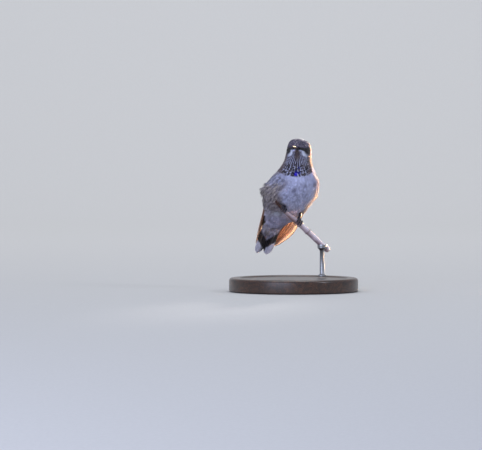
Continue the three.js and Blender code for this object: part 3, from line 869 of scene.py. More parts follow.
def scatter(gap_of, amount, seed):
    """Places spread evenly over the skin, with the gap between neighbours that gap_of gives."""
    draw = np.random.default_rng(seed)
    corners = skin_at[skin_faces]
    area = row_lengths(np.cross(corners[:, 1] - corners[:, 0], corners[:, 2] - corners[:, 0]))[:, 0] / 2
    gap = gap_of(corners.mean(axis=1))
    weight = area / gap**2
    tries = draw.choice(len(area), int(amount * weight.sum()), p=weight / weight.sum())
    a, b = draw.random((2, len(tries), 1))
    over = a + b > 1
    a, b = np.where(over, 1 - a, a), np.where(over, 1 - b, b)
    at = corners[tries, 0] * (1 - a - b) + corners[tries, 1] * a + corners[tries, 2] * b
    tree = kdtree.KDTree(len(at))
    for i, point in enumerate(at):
        tree.insert(point, i)
    tree.balance()
    free = np.ones(len(at), bool)
    kept = []
    for i in range(len(at)):
        if free[i]:
            kept.append(i)
            for _, j, _ in tree.find_range(at[i], gap[tries[i]]):
                free[j] = False
    return at[kept], face_normal[tries[kept]]


def throat_roots():
    """The roots of the throat's feathers, column by column and row by row."""
    first, growth = ROWS_DOWN["first"], ROWS_DOWN["growth"]
    to_bird = HEAD["turn"].T @ BIRD["turn"]
    made = []
    for column in range(-16, 17):
        for row in np.arange(0, 14.5) + 0.5 * (column % 2):
            down = float(first_row_down(row))
            step = first + growth * down
            length = 1.75 * step
            up = down - 0.66 * length
            wide = column * COLUMN * (FAN + max(up, 0))
            if up < 0.9 or down > throat_edge(wide) + 0.4 or abs(wide) > 10.4:
                continue
            around = wide / NECK_ROUND
            inside = head_to_bird(np.array((0, 0, -up)))
            outward = np.array((math.sin(around), -math.cos(around), 0)) @ to_bird
            hit, _, index, _ = skin_tree.ray_cast(Vector(inside), Vector(outward))
            if hit is not None:
                made.append((*hit, *face_normal[index], length, 0.7 * COLUMN * (FAN + up)))
    return np.array(made)


def head_to_bird(points):
    """Points of the head's frame in the bird's frame."""
    return (points @ HEAD["turn"].T + HEAD["at"] - BIRD["at"]) @ BIRD["turn"]


STEPS = np.array((0, 0.2, 0.42, 0.62, 0.8, 0.93, 1.0))
ACROSS = np.array((-1, -0.55, 0, 0.55, 1.0))


def laid(roots, normals, lengths, swing):
    """Each feather's middle line over the skin: places, normals and directions along its length."""
    at, up = roots, normals
    rows = []
    for k, step in enumerate(STEPS):
        own, s, _ = on_wing(at)
        flow = lie(at, up, own, s)
        beside = np.cross(flow, up)
        flow = unit(flow * np.cos(swing)[:, None] + beside * np.sin(swing)[:, None])
        rows.append((at, up, flow, own, s))
        if k + 1 < len(STEPS):
            moved = at + flow * (lengths * (STEPS[k + 1] - step))[:, None]
            found = [skin_tree.find_nearest(Vector(p)) for p in moved]
            at = np.array([hit[0] for hit in found])
            up = face_normal[[hit[2] for hit in found]]
    return [np.stack(part, axis=1) for part in zip(*rows)]


TAIL_ROOT, TAIL_TIP = np.array((-0.8, 13.2, -2.4)), np.array((-0.9, 22.9, -21.2))
tail_y = unit(TAIL_TIP - TAIL_ROOT)
tail_x = unit(np.array((1, 0, 0)) - tail_y * tail_y[0])
tail_z = np.cross(tail_x, tail_y)


def laid_on_tail(x, y, level, lengths, swing, face):
    """The same for tail coverts, which lie along the tail on its belly side (-1) or its back (1)."""
    rows = []
    for step in STEPS:
        down = y + lengths * step
        over = level + (3.6 - 0.6 * face - level) * ease(6.5, -1.5, down)
        aside = x * (1 + 0.02 * down) + lengths * step * np.sin(swing)
        at = TAIL_ROOT + np.outer(aside, tail_x) + np.outer(down, tail_y) + np.outer(face * over, tail_z)
        rows.append(at)
    at = np.stack(rows, axis=1)
    flow = unit(np.gradient(at, axis=1))
    up = np.broadcast_to(tail_z * face, flow.shape)
    up = unit(up - flow * np.sum(up * flow, axis=2, keepdims=True))
    nothing = np.zeros(at.shape[:2])
    return at, up, flow, nothing, nothing


def vane_faces():
    """One vane's triangles: a curved top of five points across, and a flat underside."""
    wide = len(ACROSS) + 1
    last = len(STEPS) - 1
    faces = []

    def quad(a, b, c, d):
        faces.extend(((a, b, c), (a, c, d)))

    for k in range(last):
        low, high = k * wide, (k + 1) * wide
        for j in range(len(ACROSS) - 1):
            quad(low + j, low + j + 1, high + j + 1, high + j)
        quad(low + 4, low + 5, high + 5, high + 4)
        quad(low + 5, low, high, high + 5)
    for end, flip in ((0, True), (last * wide, False)):
        fan = [(end + j, end + j + 1, end + 5) for j in range(4)]
        faces.extend(tuple(reversed(face)) if flip else face for face in fan)
    return np.array(faces)


def outline(s):
    """A vane's half width along its length, from a narrow root to a round tip."""
    swell = 0.32 + 0.68 * ease(0, 0.5, s)
    past = np.clip((s - 0.5) / 0.5, 0, 1)
    return swell * np.sqrt(np.maximum(1 - past**2.2, 0.035))


def joined(name, points, faces, colours, vane_map, bake_map, nap=None):
    """One mesh of many feathers, with their colours, their two maps, and how the coat lies at each point."""
    mesh = bpy.data.meshes.new(name)
    mesh.vertices.add(len(points))
    mesh.vertices.foreach_set("co", out_of(BIRD, points).ravel())
    mesh.loops.add(faces.size)
    mesh.loops.foreach_set("vertex_index", faces.ravel())
    mesh.polygons.add(len(faces))
    mesh.polygons.foreach_set("loop_start", np.arange(0, faces.size, 3))
    mesh.polygons.foreach_set("use_smooth", np.ones(len(faces), bool))
    mesh.update(calc_edges=True)
    colour_attribute(mesh, colours)
    for map_name, rows in (("vane", vane_map), ("OFBake", bake_map)):
        mesh.uv_layers.new(name=map_name).data.foreach_set("uv", rows[faces.ravel()].ravel())
    if nap is not None:
        mesh.attributes.new("nap", "FLOAT_VECTOR", "POINT").data.foreach_set(
            "vector", (nap @ BIRD["turn"].T).ravel()
        )
    made = bpy.data.objects.new(name, mesh)
    bpy.context.collection.objects.link(made)
    return made


PATCH = 0.003


def bake_places(roots, vane_map):
    """Each feather's small patch at its root's place on the skin, unrolled round the body and by height."""
    place = np.stack((0.5 + round_body(roots) / 360, (roots[:, 2] + 12) / 58), axis=1)
    return place[:, None] + (vane_map - 0.5) * PATCH


BARB = {"thick": 0.07, "free": 0.7}
FLUFF = 12  # free barbs on a soft feather


def grow(name, roots, rows, lengths, halves, softness, draw, style):
    """A piece of the coat: one vane along each laid middle line, with free barbs where it is soft.

    The style gives the fringe's colour and share, the number of free barbs, how much the vanes arch, how
    unevenly they lie, how much painted shade darkens their covered part, and how much they vary."""
    count = len(roots)
    at, up, flow, own, _ = rows
    beside = np.cross(flow, up)
    steps = STEPS[None, :]
    depth = style.get("depth", coat_depth(roots)) * np.ones(count)
    uneven = style.get("uneven", 0.12)
    lift = draw.uniform(1 - uneven, 1 + uneven, count)[:, None] * depth[:, None]
    height = -0.08 + lift * (0.15 + 0.85 * steps**0.9) - 0.05 * ease(0.9, 1, steps)
    stands_out = np.maximum(softness - 1, 0) * draw.uniform(0, 1, count) ** 1.5
    height = height + (1.9 * stands_out)[:, None] * steps**2
    width = halves[:, None] * outline(steps) * draw.uniform(0.9, 1.1, (count, 1))
    ragged = draw.uniform(-0.1, 0.1, (count, len(STEPS), len(ACROSS))) * (0.25 + softness[:, None, None])
    t = ACROSS[None, None, :]
    slide = (0.06 * (t**2) * -1 + ragged * ease(0.5, 1, steps)[..., None]) * lengths[:, None, None]
    arch = style.get("arch", 0.14)
    top = (
        at[:, :, None]
        + beside[:, :, None] * (width[..., None] * t * (1 + ragged))[..., None]
        + up[:, :, None] * (height[..., None] - arch * width[..., None] * t**2)[..., None]
        + flow[:, :, None] * slide[..., None]
    )
    under = at + up * (height - 0.06 - 0.5 * arch * width)[..., None]
    points = np.concatenate((top, under[:, :, None]), axis=2)
    across = np.append(ACROSS, 0)
    vane_map = np.stack(np.broadcast_arrays((across + 1)[None] / 2, STEPS[:, None]), axis=-1)
    vane_map = np.broadcast_to(vane_map, (count, *vane_map.shape))

    flat = at[:, :, None] + beside[:, :, None] * (width[..., None] * across[None, None])[..., None]
    own_flat = np.broadcast_to(own[:, :, None], flat.shape[:3])
    tint = style.get("ground", markings)(flat.reshape(-1, 3), own_flat.ravel()).reshape(flat.shape)
    edge = ease(0.45, 1, np.abs(across))[None, None] * ease(0.1, 0.5, steps)[..., None]
    edge = np.maximum(edge, ease(0.82, 1, steps)[..., None])
    tint = paint(tint, style["fringe"], np.clip(edge * style["share"](roots)[:, None, None], 0, 1))
    # Painted shade: each vane is darkened towards its covered root, where the feathers over it lie.
    deep = style.get("deep", 0.6)
    deep = deep + (1 - deep) * ease(0.05, 0.6, steps)[..., None, None]
    vary = style.get("vary", 0.08)
    tint = tint * deep * draw.uniform(1 - vary, 1 + vary, (count, 1, 1, 1))
    size = points.shape[1] * points.shape[2]
    faces = (vane_faces()[None] + (np.arange(count) * size)[:, None, None]).reshape(-1, 3)
    nap = unit(up[:, :, None] + beside[:, :, None] * (0.3 * across)[..., None])
    nap = unit(nap + flow[:, :, None] * (0.1 * draw.normal(0, 1, (count, 1, 1, 1))))
    parts = [
        (
            points.reshape(-1, 3),
            tint.reshape(-1, 3),
            vane_map.reshape(count, -1, 2),
            faces,
            nap.reshape(-1, 3),
        )
    ]

    if style.get("barbs"):
        parts.append(free_barbs(draw, rows, beside, height, width, tint, lengths, softness, style["barbs"]))
    total = np.vstack([part[0] for part in parts])
    colours = np.vstack([part[1] for part in parts])
    maps = np.vstack([part[2].reshape(-1, 2) for part in parts])
    bake = np.vstack([bake_places(roots, part[2]).reshape(-1, 2) for part in parts])
    naps = np.vstack([part[4] for part in parts])
    offset, all_faces = 0, []
    for part in parts:
        all_faces.append(part[3] + offset)
        offset += len(part[0])
    return joined(name, total, np.vstack(all_faces), colours, maps, bake, naps)


def free_barbs(draw, rows, beside, height, width, tint, lengths, softness, barbs):
    """Loose barbs that leave a soft feather's edges, each a fine three-sided spike bent once."""
    at, up, flow = rows[:3]
    count = len(at)
    place = np.sort(draw.uniform(0.35, 1.0, (count, barbs)) ** 0.8, axis=1)
    sign = np.where(np.arange(barbs) % 2, 1.0, -1.0)[None] * np.ones((count, 1))
    low = np.clip(np.searchsorted(STEPS, place.ravel()).reshape(place.shape) - 1, 0, len(STEPS) - 2)
    part = ((place - STEPS[low]) / (STEPS[low + 1] - STEPS[low]))[..., None]
    which = np.arange(count)[:, None]

    def between(rows):
        rows = rows if rows.ndim == 3 else rows[..., None]
        return rows[which, low] * (1 - part) + rows[which, low + 1] * part

    middle, normal, ahead, aside = (between(rows) for rows in (at, up, flow, beside))
    high, wide = between(height), between(width)
    angle = np.radians(draw.uniform(8, 34, (count, barbs, 1))) * (1.15 - place[..., None])
    out = sign[..., None] * draw.uniform(0.15, 0.85, (count, barbs, 1)) * ease(1.05, 0.7, place)[..., None]
    root = middle + aside * out * wide + normal * (high + 0.02)
    way = unit(ahead * np.cos(angle) + aside * sign[..., None] * np.sin(angle))
    reach = BARB["free"] * draw.uniform(0.5, 1.3, (count, barbs, 1)) * (0.4 + softness[:, None, None])
    reach = reach * 0.25 * lengths[:, None, None]
    curl = draw.normal(0, 0.12, (count, barbs, 1))
    half_way = root + way * reach * 0.5 + normal * 0.03
    end = root + way * reach + (aside * curl + normal * draw.uniform(-0.08, 0.2, (count, barbs, 1))) * reach
    beam = unit(np.cross(way, normal))
    thick = BARB["thick"]
    ring = [(1, 0), (-0.5, -0.8), (-0.5, 0.8)]
    spike = [root + (beam * a + normal * b * 0.6) * thick / 2 for a, b in ring]
    spike += [half_way + (beam * a + normal * b * 0.6) * thick / 2.6 for a, b in ring]
    points = np.stack((*spike, end), axis=2)
    colour = between(tint[:, :, 2].reshape(count, len(STEPS), 3)) * 1.06
    colours = np.broadcast_to(colour[:, :, None], points.shape)
    places = np.stack(np.broadcast_arrays((sign + 1) / 2 * 0.6 + 0.2, place), axis=-1)[:, :, None]
    vane_map = np.broadcast_to(places, (*points.shape[:3], 2))
    each = [
        (0, 1, 4),
        (0, 4, 3),
        (1, 2, 5),
        (1, 5, 4),
        (2, 0, 3),
        (2, 3, 5),
        (3, 4, 6),
        (4, 5, 6),
        (5, 3, 6),
        (0, 2, 1),
    ]
    faces = (np.array(each)[None] + (np.arange(count * barbs) * 7)[:, None, None]).reshape(-1, 3)
    naps = np.broadcast_to(normal[:, :, None], points.shape)
    return (
        points.reshape(-1, 3),
        colours.reshape(-1, 3),
        vane_map.reshape(count, -1, 2),
        faces,
        naps.reshape(-1, 3),
    )


CONTOUR_BARBS, FLIGHT_BARBS = 11, 90  # barbs along one vane


def barb_waves(made, sweep, count):
    """How far off the shaft a vane's points lie, and waves for its barbs, which are swept off the shaft."""
    vane = add(made, "ShaderNodeUVMap", {"uv_map": "vane"})
    parts = add(made, "ShaderNodeSeparateXYZ", Vector=vane.outputs["UV"])
    off_shaft = add(made, "ShaderNodeMath", {"operation": "SUBTRACT", 1: 0.5}, in0=parts.outputs["X"])
    off_shaft = add(made, "ShaderNodeMath", {"operation": "ABSOLUTE"}, in0=off_shaft.outputs[0])
    swept = add(
        made,
        "ShaderNodeMath",
        {"operation": "MULTIPLY_ADD", 1: -sweep},
        in0=off_shaft.outputs[0],
        in2=parts.outputs["Y"],
    )
    turns = {"operation": "MULTIPLY", 1: 2 * math.pi * count}
    waves = add(made, "ShaderNodeMath", turns, in0=swept.outputs[0])
    waves = add(made, "ShaderNodeMath", {"operation": "SINE"}, in0=waves.outputs[0])
    return off_shaft.outputs[0], waves.outputs[0]


def feather_finish(name, roughness, sheen, metallic=0.0, specular=0.3, downy=False):
    """Feather keratin: matt, with fine barbs that run out from the shaft.

    Downy feathers take the light as the coat lies, so that they melt together."""
    made = new_material(name)
    tint = add(made, "ShaderNodeAttribute", {"attribute_name": "plumage"})
    _, barbs = barb_waves(made, 0.9, CONTOUR_BARBS)
    # The barbs' stripes: the barbs' own fine texture, with painted shade in the grooves between them.
    light = add(
        made,
        "ShaderNodeMapRange",
        {"From Min": -1, "From Max": 1, "To Min": 0.9, "To Max": 1.06},
        Value=barbs,
    )
    colour = add(
        made,
        "ShaderNodeVectorMath",
        {"operation": "SCALE"},
        Scale=light.outputs["Result"],
        in0=tint.outputs["Color"],
    )
    bump = add(made, "ShaderNodeBump", {"Strength": 0.35, "Distance": 0.03 * MM}, Height=barbs)
    if downy:
        nap = add(made, "ShaderNodeAttribute", {"attribute_name": "nap"})
        made.node_tree.links.new(nap.outputs["Vector"], bump.inputs["Normal"])
    principled = add(
        made,
        "ShaderNodeBsdfPrincipled",
        {
            "Roughness": roughness,
            "Metallic": metallic,
            "Specular IOR Level": specular,
            "Sheen Weight": sheen,
            "Sheen Roughness": 0.5,
        },
        Base_Color=colour.outputs["Vector"],
        Normal=bump.outputs["Normal"],
    )
    show(made, principled.outputs["BSDF"])
    return made


def clear_of_eyes(points):
    gaps = [row_lengths(points - eye["at"])[:, 0] for eye in eyes.values()]
    looks = [np.sum(unit(points - eye["at"]) * eye["looks"], axis=1) for eye in eyes.values()]
    blocked = [
        (gap < 2.6) & (look > math.cos(math.radians(EYE["opening"] + 6))) for gap, look in zip(gaps, looks)
    ]
    return ~np.any(blocked, axis=0)


def coat_gap(points):
    own, s, _ = on_wing(points)
    return coat_sizes(points, own, s)[2]


roots, root_normals = scatter(coat_gap, 7, 11)
own_wing, wing_share, _ = on_wing(roots)
lengths, halves, _, softness = coat_sizes(roots, own_wing, wing_share)
in_head = head_from_bird(roots)
_, _, down_head = throat_place(in_head)
on_throat = throat_share(in_head) * ease(1.2, 1.8, down_head) > 0.5
round_of = round_body(roots)
side_of = np.abs(round_of)
at_bill = (np.hypot(in_head[:, 0], (in_head[:, 2] - 0.1) / 0.85) < 1) & (in_head[:, 1] < -4)
open_skin = clear_of_eyes(roots) & ~at_bill
soft_feather = feather_finish("soft contour feather", 0.85, 0.15, downy=True)
scale_feather = feather_finish("scale-like contour feather", 0.62, 0.05, metallic=0.1, specular=0.3)
BUFF_FRINGE, PALE_FRINGE = shade(0xA8957C), shade(0xE6E2E8)


def even(share):
    """The same share at every root."""
    return lambda points: np.full(len(points), share)


def cap_fringe(points):
    """The crown's feathers are faintly edged, the nape's more."""
    return 0.12 + 0.25 * ease(90, 120, np.abs(round_body(points)))


zones = {
    "throat_down": on_throat,
    "head": (down_head < 8.5) & ~on_throat,
    "back": (side_of > 104) & (own_wing < 0.5),
    "wings": (own_wing >= 0.5) & (side_of > 60),
    "breast_left": (roots[:, 2] >= 12) & (round_of >= 0),
    "breast_right": (roots[:, 2] >= 12) & (round_of < 0),
    "belly_left": (roots[:, 2] < 12) & (round_of >= 0),
    "belly_right": (roots[:, 2] < 12) & (round_of < 0),
}
# deep, in the styles, is how much colour stays at each vane's covered root under the painted shade.
soft_style = {
    "fringe": PALE_FRINGE,
    "share": even(0.16),
    "barbs": FLUFF,
    "arch": 0.08,
    "uneven": 0.06,
    "deep": 0.86,
    "vary": 0.05,
}
scaly = {"fringe": BUFF_FRINGE, "arch": 0.12, "uneven": 0.07}
styles = {
    "throat_down": (soft_feather, "plumage_pale", {**soft_style, "barbs": 0}),
    "head": (
        scale_feather,
        "plumage_dark",
        {**scaly, "fringe": PALE_FRINGE, "share": cap_fringe, "deep": 0.7, "vary": 0.1},
    ),
    "back": (scale_feather, "plumage_dark", {**scaly, "share": even(0.65)}),
    "wings": (scale_feather, "plumage_dark", {**scaly, "share": even(0.5)}),
}
taken = ~open_skin
for seed, (name, zone) in enumerate(zones.items(), 21):
    chosen = zone & ~taken
    taken = taken | zone
    draw = np.random.default_rng(seed)
    finish, slot, style = styles.get(name, (soft_feather, "plumage_pale", soft_style))
    long = lengths[chosen] * draw.uniform(0.88, 1.12, chosen.sum())
    rows = laid(roots[chosen], root_normals[chosen], long, draw.normal(0, 0.09, len(long)))
    piece = grow(f"coat_{name}", roots[chosen], rows, long, halves[chosen], softness[chosen], draw, style)
    fix(piece, finish, slot, smooth=None)

# Long loose plumes on the flanks, which sweep back over the front edges of the folded wings. Those on the
# right stand out; on the left, one small point does.
FLANK_PLUME = 4.6  # mm
flank_style = {**soft_style, "barbs": 20, "share": even(0.75), "fringe": HAIR, "vary": 0.24}
for seed, (side, sign) in enumerate((("left", 1), ("right", -1)), 33):
    draw = np.random.default_rng(seed)
    around, up_to = sign * round_of, roots[:, 2]
    flank = (
        (around > 50)
        & (around < 96)
        & (up_to > 4.5)
        & (up_to < 17.5)
        & (own_wing < 0.9)
        & (up_to < 17.5 - 0.05 * (around - 50))
    )
    long = np.full(flank.sum(), FLANK_PLUME) * draw.uniform(0.75, 1.15, flank.sum())
    point = ease(12, 4, np.abs(around[flank] - 84)) * ease(2.2, 1.0, np.abs(up_to[flank] - 13.4))
    loose = (
        1.1 + 0.7 * point
        if sign > 0
        else mix(1.0, 1.5, ease(58, 76, around[flank])) + 0.6 * ease(7.5, 12, up_to[flank])
    )
    rows = laid(roots[flank], root_normals[flank], long, -sign * np.radians(draw.normal(24, 7, len(long))))
    piece = grow(
        f"coat_flank_{side}", roots[flank], rows, long, np.full(len(long), 0.5), loose, draw, flank_style
    )
    fix(piece, soft_feather, "plumage_pale", smooth=None)

throat = throat_roots()
draw = np.random.default_rng(31)
rows = laid(throat[:, :3], throat[:, 3:6], throat[:, 6], draw.normal(0, 0.05, len(throat)))
throat_style = {
    "fringe": PALE_FRINGE, "share": even(0.0), "arch": 0.1, "uneven": 0.05, "deep": 0.85, "vary": 0.04
}
piece = grow(
    "coat_throat",
    throat[:, :3],
    rows,
    throat[:, 6],
    throat[:, 7],
    np.zeros(len(throat)),
    draw,
    throat_style,
)
fix(piece, scale_feather, "plumage_pale", smooth=None)


# The coverts over the tail's base: long pale plumes with dusky middles below, green scales with buff edges
# above.
PLUME, PLUME_DUSK = shade(0xD2CCE2), shade(0x92807A)


def under_the_tail(points, own):
    """Pale grey plumes with soft brown middles, and white ones next to the feet."""
    broad, fine = dapple(points, 2.6, 6), dapple(points, 0.7, 1)
    tone = paint(np.broadcast_to(PLUME, points.shape), PLUME_DUSK, ease(0.42, 0.7, broad) * 0.7)
    tone = paint(tone, VENT, ease(-7, -3, points[:, 2]) * 0.8)
    return tone * (0.93 + 0.14 * fine[:, None])


draw = np.random.default_rng(32)
for side_name, face, reach, width in (("under", -1, 8.0, 3.9), ("upper", 1, 6.0, 3.4)):
    x, y = [], []
    for row in np.arange(-5.5, 3.4, 0.75):
        places = np.arange(-width, width + 0.1, 0.9) * (1 - 0.03 * row) + 0.45 * (round(row / 0.75) % 2)
        x += list(places + draw.normal(0, 0.12, len(places)))
        y += [row] * len(places)
    x, y = np.array(x), np.array(y) + draw.normal(0, 0.2, len(x))
    longest = reach * (1 - 0.35 * (np.abs(x) / width) ** 2)
    long = np.minimum(np.full(len(x), 6.5), longest + 2 - y) * draw.uniform(0.9, 1.1, len(x))
    rows = laid_on_tail(
        x,
        y,
        0.75 + draw.uniform(0, 0.3, len(x)) + 0.12 * (3.4 - y),
        long,
        draw.normal(0, 0.06, len(x)),
        face,
    )
    style = {**soft_style, "ground": under_the_tail} if face < 0 else styles["back"][2]
    style = {**style, "depth": 0.1, "uneven": 0.0}
    soft_vanes = np.full(len(x), 1.2 if face < 0 else 0.0)
    finish, slot = (soft_feather, "plumage_pale") if face < 0 else (scale_feather, "plumage_dark")
    piece = grow(
        f"coat_{side_name}tail", rows[0][:, 0], rows, long, np.full(len(x), 1.25), soft_vanes, draw, style
    )
    fix(piece, finish, slot, smooth=None)

# ---- Flight feathers -----------------------------------------------------------------------------
# Ten primaries and six secondaries in each folded wing: long dusky vanes on a stiff shaft, thin enough to
# glow when the light is behind them. They are rooted under the coverts and stacked, the inner ones over the
# outer ones.
QUILL_STEPS = np.linspace(0, 1, 30)
QUILL_ACROSS = np.array((-1, -0.7, -0.38, -0.09, 0, 0.09, 0.38, 0.7, 1))


def quill_faces(rows, columns):
    """The triangles of a closed vane: a top and an underside with shared edges, and a fan at each end."""
    ring = 2 * columns - 2
    faces = []
    for k in range(rows - 1):
        for j in range(ring):
            a, b = k * ring + j, k * ring + (j + 1) % ring
            faces += [(a, b, b + ring), (a, b + ring, a + ring)]
    last = (rows - 1) * ring
    faces += [(0, j + 1, j) for j in range(1, ring - 1)]
    faces += [(last, last + j, last + j + 1) for j in range(1, ring - 1)]
    return np.array(faces)


def quill(middle, beside, up, near, far, thick, shaft, tint, draw):
    """One long feather along a middle line, with its half widths on each side and its colour."""
    rows = len(middle)
    t = QUILL_ACROSS[None, :, None]
    near, far = near[:, None, None], far[:, None, None]
    width = np.where(t < 0, near, far)
    frays = 1 + draw.normal(0, 0.035, (rows, len(QUILL_ACROSS), 1)) * (np.abs(t) > 0.9)
    dish = -0.1 * width * t**2
    ridge = np.exp(-((t / 0.06) ** 2)) * shaft * np.linspace(1, 0.25, rows)[:, None, None]
    body = thick * (1 - 0.75 * np.abs(t))
    flat = middle[:, None] + beside[:, None] * (width * t * frays)
    top = flat + up[:, None] * (dish + body / 2 + ridge)
    low = flat + up[:, None] * (dish - body / 2 - ridge)
    ring = np.concatenate((top, low[:, -2:0:-1]), axis=1)
    across = np.concatenate((QUILL_ACROSS, QUILL_ACROSS[-2:0:-1]))
    along = np.linspace(0, 1, rows)
    s, t = np.broadcast_arrays(along[:, None], across[None])
    maps = np.stack(((t + 1) / 2, s), axis=-1).reshape(-1, 2)
    return ring.reshape(-1, 3), tint(s.ravel(), t.ravel()), maps


def bundle(name, quills):
    """Joins long feathers into one piece, with a strip of the map for each."""
    rows = len(QUILL_STEPS)
    one = quill_faces(rows, len(QUILL_ACROSS))
    points, colours, maps, bakes, faces = [], [], [], [], []
    for i, (ring, tint, vane_map) in enumerate(quills):
        faces.append(one + i * len(ring))
        points.append(ring)
        colours.append(tint)
        maps.append(vane_map)
        strip = np.array(((i % 4 + 0.1) / 4, (i // 4 + 0.05) / 4))
        bakes.append(strip + vane_map * np.array((0.2, 0.225)))
    made = joined(
        name, np.vstack(points), np.vstack(faces), np.vstack(colours), np.vstack(maps), np.vstack(bakes)
    )
    edit_all(made, bpy.ops.mesh.normals_make_consistent, inside=False)
    return made


DUSKY, DUSKY_EDGE, SHAFT = shade(0x463E40), shade(0x8A7468), shade(0xF0E2D6)
PRIMARY_SHARES = (0.12, 0.27, 0.4, 0.51, 0.59, 0.65, 0.7, 0.74, 0.78, 0.81)
PRIMARY_TIPS = (1.0, 0.985, 0.958, 0.92, 0.88, 0.84, 0.8, 0.765, 0.73, 0.70)
SECONDARY_TIPS = (0.68, 0.66, 0.635, 0.61, 0.585, 0.56)
WING_VANE = {"near": 0.5, "outermost": 0.8, "far": 0.62, "thick": 0.1, "shaft": 0.1}  # shares of half, and mm
WING_ROOT = 0.3  # where the flight feathers leave the arm, as a share of the wing's length


def wing_tint(s, t):
    """Dusky vanes with a paler inner edge and a brown shaft."""
    tone = paint(
        np.broadcast_to(DUSKY, (len(s), 3)), DUSKY_EDGE, 0.5 * ease(0.8, 1, t) + 0.25 * ease(0.93, 1, s)
    )
    return paint(tone, SHAFT, (np.abs(t) < 0.05) * 0.8)


def wing_quill(side, tip, share_from, share_to, half, level, draw, near=WING_VANE["near"]):
    """A flight feather in the folded wing: it runs from the arm to its tip and drifts across the wing."""
    s = mix(WING_ROOT, tip, QUILL_STEPS)
    share = mix(share_from, share_to, QUILL_STEPS**3.2)
    up = wing_outward(side, s)
    middle = wing_point(side, s, share) + up * level
    along = unit(np.gradient(middle, axis=0))
    across = (
        wing_point(side, s, np.minimum(share + 0.02, 1)) - wing_point(side, s, np.maximum(share - 0.02, 0))
    )
    across = unit(across - along * np.sum(across * along, axis=1, keepdims=True))
    up = unit(np.cross(along, across))
    up = up * np.sign(np.sum(up * wing_outward(side, s), axis=1, keepdims=True))
    swell = (
        mix(0.45, 1, ease(0, 0.3, QUILL_STEPS))
        * np.sqrt(np.maximum(1 - np.clip((QUILL_STEPS - 0.72) / 0.28, 0, 1) ** 2.4, 0.012))
    )
    inner, outer = half * near * swell, half * WING_VANE["far"] * swell
    return quill(middle, across, up, inner, outer, WING_VANE["thick"], WING_VANE["shaft"], wing_tint, draw)


def vane_finish(name, glow, thin):
    """Stiff vane keratin: satin, with barbs swept off the shaft, and light that glows through it."""
    made = new_material(name)
    tint = add(made, "ShaderNodeAttribute", {"attribute_name": "plumage"})
    off_shaft, barbs = barb_waves(made, 0.16, FLIGHT_BARBS)
    place = add(made, "ShaderNodeTexCoord").outputs["Object"]
    clouds = add(made, "ShaderNodeTexNoise", {"Scale": 1 / (1.5 * MM), "Detail": 3}, Vector=place)
    # The barbs' stripes: the barbs' own fine texture, with painted shade in the grooves between them.
    light = add(
        made,
        "ShaderNodeMapRange",
        {"From Min": -1, "From Max": 1, "To Min": 0.88, "To Max": 1.1},
        Value=barbs,
    )
    cloudy = add(
        made,
        "ShaderNodeMapRange",
        {"From Min": 0.3, "From Max": 0.7, "To Min": 0.85, "To Max": 1.12},
        Value=clouds.outputs["Fac"],
    )
    dimmed = add(
        made,
        "ShaderNodeMath",
        {"operation": "MULTIPLY"},
        in0=light.outputs["Result"],
        in1=cloudy.outputs["Result"],
    )
    colour = add(
        made,
        "ShaderNodeVectorMath",
        {"operation": "SCALE"},
        Scale=dimmed.outputs[0],
        in0=tint.outputs["Color"],
    )
    bump = add(made, "ShaderNodeBump", {"Strength": 0.35, "Distance": 0.03 * MM}, Height=barbs)
    principled = add(
        made,
        "ShaderNodeBsdfPrincipled",
        {"Roughness": 0.5, "Specular IOR Level": 0.4, "Sheen Weight": 0.1},
        Base_Color=colour.outputs["Vector"],
        Normal=bump.outputs["Normal"],
    )
    margin = add(
        made,
        "ShaderNodeMapRange",
        {"From Min": 0.38, "From Max": 0.46, "To Min": 1, "To Max": 0.15},
        Value=off_shaft,
    )
    lit = add(
        made,
        "ShaderNodeMath",
        {"operation": "MULTIPLY"},
        in0=margin.outputs["Result"],
        in1=light.outputs["Result"],
    )
    glow_tone = add(
        made, "ShaderNodeVectorMath", {"operation": "SCALE", 0: linear(glow)[:3]}, Scale=lit.outputs[0]
    )
    through = add(
        made, "ShaderNodeBsdfTranslucent", Color=glow_tone.outputs["Vector"], Normal=bump.outputs["Normal"]
    )
    web = add(made, "ShaderNodeMath", {"operation": "GREATER_THAN", 1: 0.035}, in0=off_shaft)
    share = add(made, "ShaderNodeMath", {"operation": "MULTIPLY", 1: thin}, in0=web.outputs[0])
    whole = add(
        made,
        "ShaderNodeMixShader",
        Fac=share.outputs[0],
        in1=principled.outputs["BSDF"],
        in2=through.outputs["BSDF"],
    )
    show(made, whole.outputs["Shader"])
    return made


wing_vane = vane_finish("flight feather keratin", 0xF6E4DA, 0.78)
for seed, side in enumerate(WING_SIDE, 41):
    draw = np.random.default_rng(seed)
    primaries = []
    for i, tip in enumerate(PRIMARY_TIPS):
        step = i / (len(PRIMARY_TIPS) - 1)
        end = mix(0.46, 0.86, min(1, 2 * step))
        near = WING_VANE["near"] if i else WING_VANE["outermost"]
        primaries.append(
            wing_quill(side, tip, PRIMARY_SHARES[i], end, 2.0, mix(-0.45, 0.35, step), draw, near)
        )
    secondaries = []
    for i, tip in enumerate(SECONDARY_TIPS):
        step = i / (len(SECONDARY_TIPS) - 1)
        secondaries.append(
            wing_quill(
                side, tip, mix(0.68, 0.86, step), mix(0.84, 0.93, step), 1.9, mix(0.42, 0.8, step), draw
            )
        )
    for kind, quills in (("primaries", primaries), ("secondaries", secondaries)):
        piece = bundle(f"wing_{side}_{kind}_vanes", quills)
        fix(piece, wing_vane, "flight_feather", f"wing_{side}_{kind}", smooth=None)

# ---- Tail ----------------------------------------------------------------------------------------
# Ten tail feathers, a little fanned: the outer three to a side are grey, then black, with broad white tips,
# and lie nearest the belly; the middle pair is green and shorter, and lies on the back side. They are
# rooted in the rump.
tail_long = float(row_lengths(TAIL_TIP - TAIL_ROOT)[0])
TAIL_GREY, TAIL_BLACK, TAIL_WHITE, TAIL_GREEN = (
    shade(0xA6A2BA),
    shade(0x1B171C),
    shade(0xE8E8FC),
    shade(0x4A5440),
)
